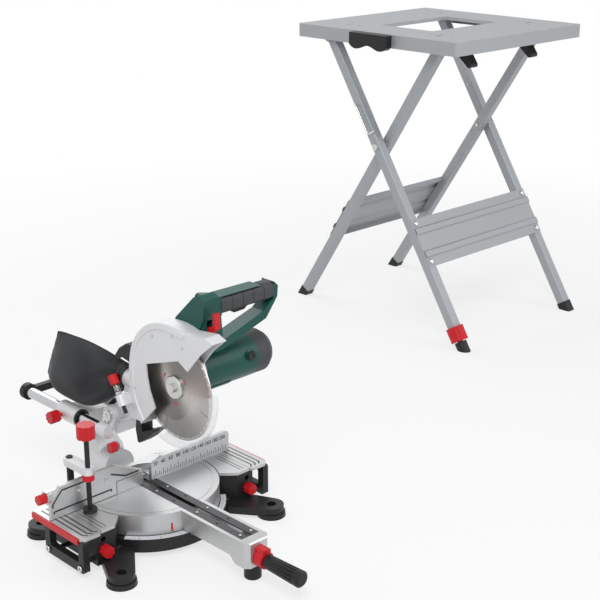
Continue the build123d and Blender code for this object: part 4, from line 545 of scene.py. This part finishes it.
def turned_shape(profile, centre, axis, steps):
    """Profile turned about an axis: the centre plus radius times a ring plus height times the axis."""
    n = unit(np.asarray(axis, float))
    side = unit(np.cross(n, REAR if abs(n[1]) < 0.9 else (1, 0, 0)))
    ring = ring_of(steps, side, np.cross(n, side))
    r, h = np.asarray(profile, float).T[:, :, None, None]
    return (np.asarray(centre, float) + r * ring + h * n).reshape(-1, 3), skin(len(r), steps)


def socket_screw(centre, axis, radius):
    """Cap screw: a low turned head with a chamfer and a sunk key hole, in shares of its radius."""
    head = [(0, -SCREW_SUNK), (radius, -SCREW_SUNK), *(SCREW_HEAD * radius)]
    return turned_shape(head, centre, axis, SCREW_STEPS)


def strip(path, width, normal, lift, depth):
    """Flat band: a path, half the width to each side, from lift - depth to lift along the normal."""
    p, n = np.asarray(path, float), np.asarray(normal, float)
    half = np.cross(n, unit(np.gradient(p, axis=0))) * width / 2
    top, low = p + n * lift, p + n * (lift - depth)
    rows = np.stack([low + half, top + half, top - half, low - half], 1)
    return rows.reshape(-1, 3), capped(len(p), 4)


def dense(points):
    """Straight runs a + (b - a) t from each point to the next, so that a band turns corners cleanly."""
    p = np.asarray(points, float)
    runs = []
    for a, b in zip(p[:-1], p[1:]):
        count = max(2, int(np.linalg.norm(b - a) / BAND_STEP))
        runs.append(np.linspace(a, b, count, endpoint=False))
    return np.vstack([*runs, p[-1:]])


def lettering(text, height, origin, right, up):
    """Text as points and faces on a plane: the origin plus height times a letter's x right and y up."""
    curve = bpy.data.curves.new("lettering", "FONT")
    curve.body = text
    curve.size = 1.0
    curve.offset = LETTER_WEIGHT
    curve.align_x = "CENTER"
    curve.align_y = "CENTER"
    curve.resolution_u = LETTER_STEPS
    holder = bpy.data.objects.new("lettering", curve)
    bpy.context.scene.collection.objects.link(holder)
    bpy.context.view_layer.update()
    seen = holder.evaluated_get(bpy.context.evaluated_depsgraph_get())
    mesh = bpy.data.meshes.new_from_object(seen)
    flat = np.zeros(len(mesh.vertices) * 3)
    mesh.vertices.foreach_get("co", flat)
    flat = flat.reshape(-1, 3)
    faces = [list(p.vertices) for p in mesh.polygons]
    bpy.data.objects.remove(holder)
    bpy.data.meshes.remove(mesh)
    r, u = np.asarray(right, float), np.asarray(up, float)
    return np.asarray(origin, float) + height * (flat[:, :1] * r + flat[:, 1:2] * u), faces


class SawColours(bpy.types.PropertyGroup):
    """Colours of the finishes."""

    shell: bpy.props.FloatVectorProperty(
        name="Shell", description="Motor and handle plastic", subtype="COLOR",
        default=(0.003, 0.072, 0.058),
    )
    accent: bpy.props.FloatVectorProperty(
        name="Accent", description="Knobs, levers and trims", subtype="COLOR",
        default=(0.62, 0.012, 0.018),
    )
    casting: bpy.props.FloatVectorProperty(
        name="Casting", description="Blasted alloy castings", subtype="COLOR",
        default=(0.75, 0.755, 0.765),
    )
    ground: bpy.props.FloatVectorProperty(
        name="Ground alloy", description="Tables, fences and turntable", subtype="COLOR",
        default=(0.56, 0.565, 0.57),
    )
    dark: bpy.props.FloatVectorProperty(
        name="Black", description="Base casting and black plastics", subtype="COLOR",
        default=(0.014, 0.014, 0.015),
    )
    grip: bpy.props.FloatVectorProperty(
        name="Grip", description="Rubber grip and motor cap", subtype="COLOR",
        default=(0.04, 0.042, 0.045),
    )
    cloth: bpy.props.FloatVectorProperty(
        name="Cloth", description="Dust bag", subtype="COLOR",
        default=(0.024, 0.025, 0.027),
    )
    frame: bpy.props.FloatVectorProperty(
        name="Stand", description="Stand's powder coat", subtype="COLOR",
        default=(0.39, 0.405, 0.42),
    )


class SawSizes(bpy.types.PropertyGroup):
    """Sizes of the added pieces and the camera."""

    thread: bpy.props.FloatProperty(
        name="Piping", description="Radius of the bag's seam piping", default=0.0013, unit="LENGTH"
    )
    figure: bpy.props.FloatProperty(
        name="Figures", description="Height of the fence scale's figures", default=0.0115, unit="LENGTH"
    )
    focal: bpy.props.FloatProperty(
        name="Focal length", description="Camera's focal length in mm", default=77.7, unit="CAMERA"
    )


def finishes():
    """All materials by name, made once."""
    kept = bpy.context.scene.get("saw_finishes")
    if kept:
        return {k: bpy.data.materials[v] for k, v in kept.items()}
    c = bpy.context.scene.saw_colours
    made = {
        "shell": moulded("shell_plastic", c.shell, rough=0.36, grain=0.16, coat=0.06),
        "accent": moulded("accent_plastic", c.accent, rough=0.34, grain=0.08, coat=0.06),
        "black": moulded("black_plastic", c.dark, rough=0.42, grain=0.2),
        "cast_black": cast_black("black_casting", c.dark),
        "casting": blasted_cast("blasted_casting", c.casting),
        "table": machined("ground_table", c.ground, GROUND_ALONG_X),
        "fence": machined("ground_fence", c.ground, GROUND_ALONG_X, rough=0.3),
        "kerf": machined("kerf_strip", (0.10, 0.10, 0.105), GROUND_ALONG_Y, rough=0.34),
        "turned": turned("turned_alloy", c.ground),
        "blade": ground_blade("ground_blade", (0.50, 0.475, 0.45)),
        "chrome": plated("chrome_rail", (0.56, 0.565, 0.58), rough=0.1),
        "zinc": plated("zinc_plate", (0.62, 0.62, 0.6), rough=0.24),
        "carbide": plated("carbide_tip", (0.82, 0.82, 0.8), rough=0.22),
        "grip": rubber_grip("rubber_grip", c.grip),
        "clear": clear_sheet("clear_guard", (0.86, 0.89, 0.9)),
        "cloth": woven("bag_cloth", c.cloth),
        "frame": powder_coat("stand_coat", c.frame),
        "ink_black": ink("black_ink", (0.012, 0.012, 0.013)),
        "ink_red": ink("red_ink", (0.55, 0.03, 0.03)),
        "plate": ink("scale_plate", (0.66, 0.675, 0.69)),
    }
    bpy.context.scene["saw_finishes"] = {k: m.name for k, m in made.items()}
    return made


NODE_FINISH = {
    "saw_base": "cast_black", "saw_tables": "table", "mitre_scale": "plate", "fence_casting": "fence",
    "left_fence": "fence", "fence_knob": "accent", "left_extension_frame": "cast_black",
    "left_extension_plate": "table", "left_extension_trim": "accent", "right_extension_frame": "cast_black",
    "right_extension_plate": "table", "right_extension_trim": "accent", "left_extension_knob": "accent",
    "right_extension_knob": "accent", "clamp_post": "cast_black", "clamp_arm": "casting",
    "clamp_screw": "cast_black", "clamp_knob": "accent", "clamp_collar": "accent", "turntable": "turned",
    "kerf_plates": "kerf", "arm_foot": "black", "mitre_handle": "black", "detent_lever": "accent",
    "bevel_post": "casting", "bevel_knob": "accent", "slide_knob": "accent", "rails": "chrome",
    "rail_end_bracket": "black", "pivot_bracket": "casting", "pivot_pin": "zinc", "head_lock_pin": "accent",
    "upper_guard": "casting", "depth_stop": "cast_black", "chip_deflector": "black", "lower_guard": "clear",
    "blade": "blade", "blade_flange": "zinc", "gear_case": "casting", "motor_housing": "shell",
    "bevel_knuckle": "casting", "motor_end_cap": "grip", "handle_body": "shell", "handle_grip": "grip",
    "trigger": "black", "release_lever": "accent", "dust_bag": "cloth", "stand_table": "frame",
    "table_handle": "black", "outer_legs": "frame", "outer_frame_bolts": "zinc", "inner_legs": "frame",
    "front_panel": "frame", "rear_panel": "frame", "outer_foot_cap": "black", "inner_foot_caps": "black",
    "foot_collar": "accent", "foot_stem": "black", "stand_latches": "black", "wire_clips": "zinc",
}


class SAW_OT_finish_nodes(bpy.types.Operator):
    """Give every CAD node its finish"""

    bl_idname = "saw.finish_nodes"
    bl_label = "Finish the CAD pieces"

    def execute(self, context):
        made = finishes()
        for node, finish in NODE_FINISH.items():
            slots = NODES[node].data.materials
            slots.clear()
            slots.append(made[finish])
        return {"FINISHED"}


def bell(v, middle, wide):
    """Bell curve: e to the minus square of the distance from the middle over the width."""
    return np.exp(-(((v - middle) / wide) ** 2))


def crease(t):
    """1 - 2 |sin t|, sharp on its ridge and round in its hollow."""
    return 1 - 2 * np.abs(np.sin(t))


def bag_surface(rows, columns):
    """Cloth bag hung from a ridge seam, round at its neck and flat at its sewn rear end; also its folds.

    A cross-section runs from the keel, h = 0, to the ridge, h = 1, with h = (1 + cos a) / 2 and the
    half width (1 - h)^p h^q over its peak: p = q = 1/2 is the neck's ellipse, and a larger p draws
    the upper cheeks straight up to the ridge. Ring folds round the neck, pleats that run back from it,
    slanting slack folds on the cheeks and short gathers at the rear seam are sums of sines and creases
    that fade out along the bag.
    """
    v = np.linspace(0, 1, rows)[:, None]
    top, low = smooth_line(BAG_TOP, rows), smooth_line(BAG_LOW, rows)
    half = smooth_line(list(zip(BAG_HALF, BAG_X)), rows)
    a = np.arange(columns) * TAU / columns
    h = (1 + np.cos(a)) / 2
    cheek, side = np.sign(np.sin(a)), np.abs(np.sin(a))
    grown = np.clip((v - 0.05) / 0.35, 0, 1)
    grown = grown * grown * (3 - 2 * grown)
    p, q = 0.5 + 0.32 * grown, 0.5 - 0.14 * grown
    peak = (p / (p + q)) ** p * (q / (p + q)) ** q
    wide = (1 - h) ** p * h**q / peak
    y = low[:, :1] + (top[:, :1] - low[:, :1]) * h
    z = low[:, 1:] + (top[:, 1:] - low[:, 1:]) * h
    neck = NECK_FOLD * bell(v, 0.13, 0.08) * np.sin(58 * v + 1.2 * np.cos(a))
    pleats = PLEAT_FOLD * bell(v, 0.26, 0.14) * crease(9 * h - 4 * v)
    slack = SLACK_FOLD * np.sin(9 * v + 4.5 * h + 0.7 * cheek)
    slack += SMALL_SLACK_FOLD * np.sin(21 * v - 7.0 * h)
    slack += CREASE_FOLD * crease(5.5 * h + 6.0 * v + 0.4)
    rear = REAR_FOLD * bell(v, 0.9, 0.09) * np.sin(26 * h)
    folds = neck + pleats + slack * np.sin(np.pi * v) ** 2 + rear
    x = half[:, 1:] + cheek * (half[:, :1] * wide + folds * side * np.minimum(wide, 1))
    return np.stack([x, y, z], 2), folds


class SAW_OT_dust_bag(bpy.types.Operator):
    """Sew the dust bag: shell, seam piping and collar"""

    bl_idname = "saw.dust_bag"
    bl_label = "Dust bag"

    def execute(self, context):
        rows, columns = BAG_ROWS, BAG_COLUMNS
        grid, folds = bag_surface(rows, columns)
        shell = (grid.reshape(-1, 3), capped(rows, columns))
        bag = piece("dust_bag_cloth", [shell], "cloth", "head")
        place = np.zeros(len(bag.data.loops), int)
        bag.data.loops.foreach_get("vertex_index", place)
        v, u = np.divmod(place, columns)
        # Fold map for painted light on the fold ridges and painted shade in the hollows, from each point's
        # fold depth
        height = np.clip(0.5 + folds[v, u] / FOLD_SPAN, 0, 1)
        maps = {
            "cloth": (u / columns * CLOTH_ROUND, v / rows * CLOTH_LONG),
            "fold": (height, np.zeros(len(height))),
        }
        for name, across in maps.items():
            layer = bag.data.uv_layers.new(name=name)
            layer.data.foreach_set("uv", np.stack(across, 1).ravel())
        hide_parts("dust_bag")
        ridge, rear = grid[PIPING_FROM:, 0], grid[-1, 1 : columns // 2 + 1]
        piping = tube(np.vstack([ridge, rear]), context.scene.saw_sizes.thread / MM)
        piece("dust_bag_piping", [piping], "cloth", "head")
        collar = turned_shape(COLLAR, COLLAR_AT, REAR, steps=48)
        piece("dust_bag_collar", [collar], "black", "head")
        return {"FINISHED"}


def rim_band():
    """Raised band along the hood's outline: its section goes in towards the spindle and off the face."""
    outline = smooth_line(HOOD, RIM_SAMPLES)
    inward = unit(np.array([BLADE_Y, BLADE_Z]) - outline)
    ins, offs = RIM.T
    flat = outline[:, None] + ins[:, None] * inward[:, None]
    x = np.broadcast_to(GUARD_X + offs, flat.shape[:2])
    return np.dstack([x, flat]).reshape(-1, 3), capped(RIM_SAMPLES, len(RIM))


def stop_spring():
    """Spring on the depth stop's rod: a helix of even turns, radius times cos and sin across the rod."""
    t = np.linspace(0, 1, SPRING_SAMPLES)[:, None]
    turn = t * TAU * SPRING_TURNS
    across = np.cos(turn) * np.array([1.0, 0, 0]) + np.sin(turn) * STOP_ACROSS
    coil = STOP_TOP + STOP_DOWN * (SPRING_FROM + SPRING_LONG * t) + SPRING_R * across
    return tube(coil, SPRING_WIRE)


class SAW_OT_guard_trim(bpy.types.Operator):
    """Raise the hood's rim band and fit its screws and the depth stop's knob, nut, spring and scale"""

    bl_idname = "saw.guard_trim"
    bl_label = "Guard trim"

    def execute(self, context):
        piece("guard_rim_band", [rim_band()], "casting", "head", False)
        screws = [socket_screw((GUARD_X, *spot), LEFT, GUARD_SCREW_R) for spot in GUARD_SCREWS]
        piece("guard_screws", screws, "zinc", "head")
        knob = turned_shape(STOP_KNOB, STOP_TOP, STOP_DOWN, steps=10)
        piece("depth_stop_knob", [knob], "accent", "depth_stop", False)
        nut = turned_shape(STOP_NUT, STOP_TOP, STOP_DOWN, steps=6)
        piece("depth_stop_nut", [nut], "zinc", "depth_stop", False)
        piece("depth_stop_spring", [stop_spring()], "zinc", "depth_stop")
        ridges = []
        for step in range(RIBS):
            middle = RIB_FOOT + STOP_DOWN * RIB_STEP * step
            line = [middle - STOP_ACROSS * RIB_HALF, middle + STOP_ACROSS * RIB_HALF]
            ridges.append(strip(line, RIB_WIDE, LEFT, lift=1.2, depth=1.4))
        piece("guard_rib_scale", ridges, "casting", "head", False)
        return {"FINISHED"}


def blade_tip(angle):
    """A tooth's carbide tip: its outline turned to the tooth's angle, on both sides of the blade."""
    out, onward = np.array([(math.cos(angle), math.sin(angle)), (-math.sin(angle), math.cos(angle))])
    flat = (BLADE_Y, BLADE_Z) + (BLADE_R - TIP_IN + TIP[:, :1]) * out + TIP[:, 1:] * onward
    sides = [np.column_stack([np.full(len(TIP), x), flat]) for x in (TIP_HALF, -TIP_HALF)]
    return np.vstack(sides), capped(2, len(TIP))


class SAW_OT_blade_marks(bpy.types.Operator):
    """Print the blade's ring marks and braze its tips"""

    bl_idname = "saw.blade_marks"
    bl_label = "Blade marks"

    def execute(self, context):
        arcs = []
        for start in ARC_START + np.arange(ARCS) * TAU / ARCS:
            a = np.linspace(start, start + ARC_SWEEP, ARC_SAMPLES)
            y, z = BLADE_Y + ARC_R * np.cos(a), BLADE_Z + ARC_R * np.sin(a)
            path = np.column_stack([np.full(ARC_SAMPLES, BLADE_FACE), y, z])
            arcs.append(strip(path, ARC_WIDE, LEFT, lift=0.06, depth=0.1))
        piece("blade_marks", arcs, "ink_red", "blade", False)
        tips = [blade_tip(tooth * TAU / TEETH) for tooth in range(TEETH)]
        piece("blade_tips", tips, "carbide", "blade", False)
        return {"FINISHED"}


def rule_marks(tall):
    """Ticks and figures of the fence's rule."""
    marks = []
    for x in RULE_TICKS:
        high = next(high for every, high in TICK_HIGH.items() if x % every == 0)
        line = [(x, 0, TICK_FOOT), (x, 0, TICK_FOOT + high)]
        marks.append(strip(line, TICK_WIDE, FRONT, lift=0.12, depth=0.1))
    for x in RULE_FIGURES:
        marks.append(lettering(str(x), tall, (x, -FIGURE_OFF, FIGURE_Z), (1, 0, 0), UP))
    return marks


def mitre_marks():
    """Marks of the mitre scale, each square to its own radius, and the figures outside them."""
    marks = []
    for degrees in range(-MITRE_MOST, MITRE_MOST + 1):
        a = math.radians(degrees)
        out, right = np.array([math.sin(a), -math.cos(a), 0]), (math.cos(a), math.sin(a), 0)
        inner = MITRE_SHORT if degrees % MITRE_LONG_EVERY else MITRE_LONG
        line = [out * r + (0, 0, MITRE_Z) for r in (inner, MITRE_OUT)]
        marks.append(strip(line, MITRE_WIDE, UP, lift=0.06, depth=0.05))
        if degrees % MITRE_FIGURE_EVERY == 0:
            spot = out * MITRE_FIGURE_R + (0, 0, MITRE_Z + MITRE_FIGURE_OFF)
            marks.append(lettering(str(abs(degrees)), MITRE_FIGURE, spot, right, -out))
    return marks


class SAW_OT_scales(bpy.types.Operator):
    """Print the fence rule and the mitre scale, and lay dark strips in the grooves"""

    bl_idname = "saw.scales"
    bl_label = "Scales and grooves"

    def execute(self, context):
        middle = np.linspace((RULE_FROM, 0, RULE_Z), (RULE_TO, 0, RULE_Z), 3)
        plate = strip(middle, RULE_TALL, FRONT, lift=0.05, depth=0.1)
        piece("rule_plate", [plate], "plate", "base", False)
        marks = rule_marks(context.scene.saw_sizes.figure / MM)
        piece("rule_figures", marks, "ink_black", "base", False)
        piece("mitre_figures", mitre_marks(), "ink_black", "base", False)
        lines = []
        for groove in FENCE_GROOVES:
            path = dense([(x, 0, z) for x, z in groove])
            lines.append(strip(path, FENCE_GROOVE_WIDE, FRONT, lift=0.05, depth=0.2))
        piece("fence_grooves", lines, "ink_black", "left_fence", False)
        for side, body in EXTENSIONS:
            lines = []
            for x in EXTENSION_GROOVES:
                rear = (side * x, EXTENSION_REAR_Y, TABLE_Z)
                bend = (side * x, EXTENSION_BEND_Y, TABLE_Z)
                end = (side * (x - EXTENSION_BEND_IN), EXTENSION_END_Y, TABLE_Z)
                path = dense([rear, bend, end])
                lines.append(strip(path, EXTENSION_GROOVE_WIDE, UP, lift=0.05, depth=0.1))
            piece(body + "_grooves", lines, "ink_black", body, False)
        lines = []
        for x in TABLE_GROOVES:
            front, rear = [(x, y, TABLE_GROOVE_Z) for y in TABLE_GROOVE_Y]
            path = np.linspace(front, rear, 3)
            lines.append(strip(path, TABLE_GROOVE_WIDE, UP, lift=0.3, depth=0.2))
        piece("table_grooves", lines, "ink_black", "base", False)
        return {"FINISHED"}


class SAW_OT_fasteners(bpy.types.Operator):
    """Fit the visible screws, the rail seals, the brush cap and the mitre pointer"""

    bl_idname = "saw.fasteners"
    bl_label = "Fasteners"

    def execute(self, context):
        screws = [socket_screw(spot, UP, KERF_SCREW_R) for spot in KERF_SCREWS]
        piece("kerf_screws", screws, "zinc", "turntable")
        ends = [(x, POST_FRONT, RAIL_Z) for x in (-RAIL_X, RAIL_X)]
        seals = [turned_shape(RAIL_SEAL, end, FRONT, steps=36) for end in ends]
        piece("rail_seals", seals, "black", "bevel_post")
        pointer = tube(np.linspace(POINTER_TOP, POINTER_TIP, POINTER_SAMPLES), POINTER_R)
        piece("mitre_pointer", [pointer], "accent", "turntable")
        cap = turned_shape(BRUSH_CAP, BRUSH_AT, FRONT, steps=36)
        piece("brush_cap", [cap], "black", "head")
        for side, body in EXTENSIONS:
            spots = [(side * EXTENSION_SCREW_X, y, EXTENSION_SCREW_Z) for y in EXTENSION_SCREW_Y]
            screws = [socket_screw(spot, (side, 0, 0), EXTENSION_SCREW_R) for spot in spots]
            piece(body + "_screws", screws, "zinc", body)
        return {"FINISHED"}


class SAW_OT_stand_bolts(bpy.types.Operator):
    """Fit the domed bolts of the stand's cross panels"""

    bl_idname = "saw.stand_bolts"
    bl_label = "Stand bolts"

    def execute(self, context):
        for body, way, x in (("outer_frame", 1, OUTER_X), ("inner_frame", -1, INNER_X)):
            along = np.array([0, way * math.sin(LEG_SLOPE), math.cos(LEG_SLOPE)])
            out = np.array([0, -way * math.cos(LEG_SLOPE), math.sin(LEG_SLOPE)])
            heads = []
            for side in (-1, 1):
                foot = np.array([side * x, -way * LEG_FOOT_Y, 0])
                for step in (-PANEL_BOLT, PANEL_BOLT):
                    spot = foot + along * (PANEL_AT + step) + out * PANEL_FACE
                    heads.append(turned_shape(BOLT, spot, out, steps=24))
            piece(body + "_bolts", heads, "chrome", body, origin=STAND)
        return {"FINISHED"}


def pale_floor():
    """Pale floor that takes shadows near the saw and fades to white further out."""
    f = Finish("pale_floor")
    f.set(Base_Color=FLOOR_GREY, Roughness=0.7)
    x, y, _ = f.axes(f.place())
    out = (((x * x + y * y) ** 0.5 - FLOOR_CLEAR) / FLOOR_FADE).clamped()
    share = (out * (1 - FLOOR_NEAR) + FLOOR_NEAR) * f.backdrop()
    glow = f.node("ShaderNodeEmission", {}, {"Color": WHITE, "Strength": 1.0})
    blend = f.node("ShaderNodeMixShader", {}, {0: share, 1: f.surface, 2: glow})
    f.feed(f.output, {0: blend})
    return f.material


def studio_sky(world):
    """Soft grey light from all round, seen as plain white."""
    world.use_nodes = True
    sky = Shading(world.node_tree)
    soft = sky.node("ShaderNodeBackground", {}, {"Color": SKY, "Strength": SKY_POWER})
    white = sky.node("ShaderNodeBackground", {}, {"Color": WHITE, "Strength": 1.0})
    blend = sky.node("ShaderNodeMixShader", {}, {0: sky.backdrop(), 1: soft, 2: white})
    sky.node("ShaderNodeOutputWorld", {}, {0: blend})


def aimed(data, place, aim):
    """Stands a lamp or camera at a place, looking at aim with its top upwards."""
    x, y, z = np.subtract(aim, place)
    holder = bpy.data.objects.new(data.name, data)
    holder.location = place
    tilt, turn = math.atan2(z, math.hypot(x, y)), math.atan2(y, x)
    holder.rotation_euler = (math.pi / 2 + tilt, 0.0, turn - math.pi / 2)
    bpy.context.scene.collection.objects.link(holder)
    return holder


class SAW_OT_stage(bpy.types.Operator):
    """Set the floor, the light and the camera"""

    bl_idname = "saw.stage"
    bl_label = "Stage"

    def execute(self, context):
        scene = context.scene
        scene.view_settings.view_transform = "Standard"
        circle = ring_of(FLOOR_STEPS, np.array([1.0, 0, 0]), np.array([0, 1.0, 0]))
        disc = (FLOOR_RINGS[:, None, None] * circle).reshape(-1, 3)
        floor = shown("floor", disc, skin(len(FLOOR_RINGS), FLOOR_STEPS), pale_floor())
        scene.world = bpy.data.worlds.new("studio")
        studio_sky(scene.world)
        for name, place, wide, power in LAMPS:
            lamp = bpy.data.lights.new(name, "AREA")
            lamp.size = wide
            lamp.energy = power
            aimed(lamp, place, LAMP_AIM)
        cam = bpy.data.cameras.new("camera")
        cam.sensor_width = SENSOR_MM
        cam.lens = scene.saw_sizes.focal
        cam.clip_end = CAMERA_FAR
        scene.camera = aimed(cam, CAMERA, CAMERA_AIM)
        return {"FINISHED"}


STEPS = (
    "stage", "finish_nodes", "dust_bag", "guard_trim", "blade_marks", "scales", "fasteners", "stand_bolts",
)


class SAW_PT_panel(bpy.types.Panel):
    """Buttons of the saw's pieces"""

    bl_idname = "SAW_PT_panel"
    bl_label = "Mitre saw"
    bl_space_type = "VIEW_3D"
    bl_region_type = "UI"
    bl_category = "Saw"

    def draw(self, context):
        for step in STEPS:
            self.layout.operator("saw." + step)


CLASSES = (
    SawColours, SawSizes, SAW_OT_stage, SAW_OT_finish_nodes, SAW_OT_dust_bag, SAW_OT_guard_trim,
    SAW_OT_blade_marks, SAW_OT_scales, SAW_OT_fasteners, SAW_OT_stand_bolts, SAW_PT_panel,
)


def register():
    for cls in CLASSES:
        bpy.utils.register_class(cls)
    bpy.types.Scene.saw_colours = bpy.props.PointerProperty(type=SawColours)
    bpy.types.Scene.saw_sizes = bpy.props.PointerProperty(type=SawSizes)


def unregister():
    del bpy.types.Scene.saw_sizes
    del bpy.types.Scene.saw_colours
    for cls in reversed(CLASSES):
        bpy.utils.unregister_class(cls)


def main():
    register()
    for step in STEPS:
        getattr(bpy.ops.saw, step)()


if __name__ == "__main__":
    main()
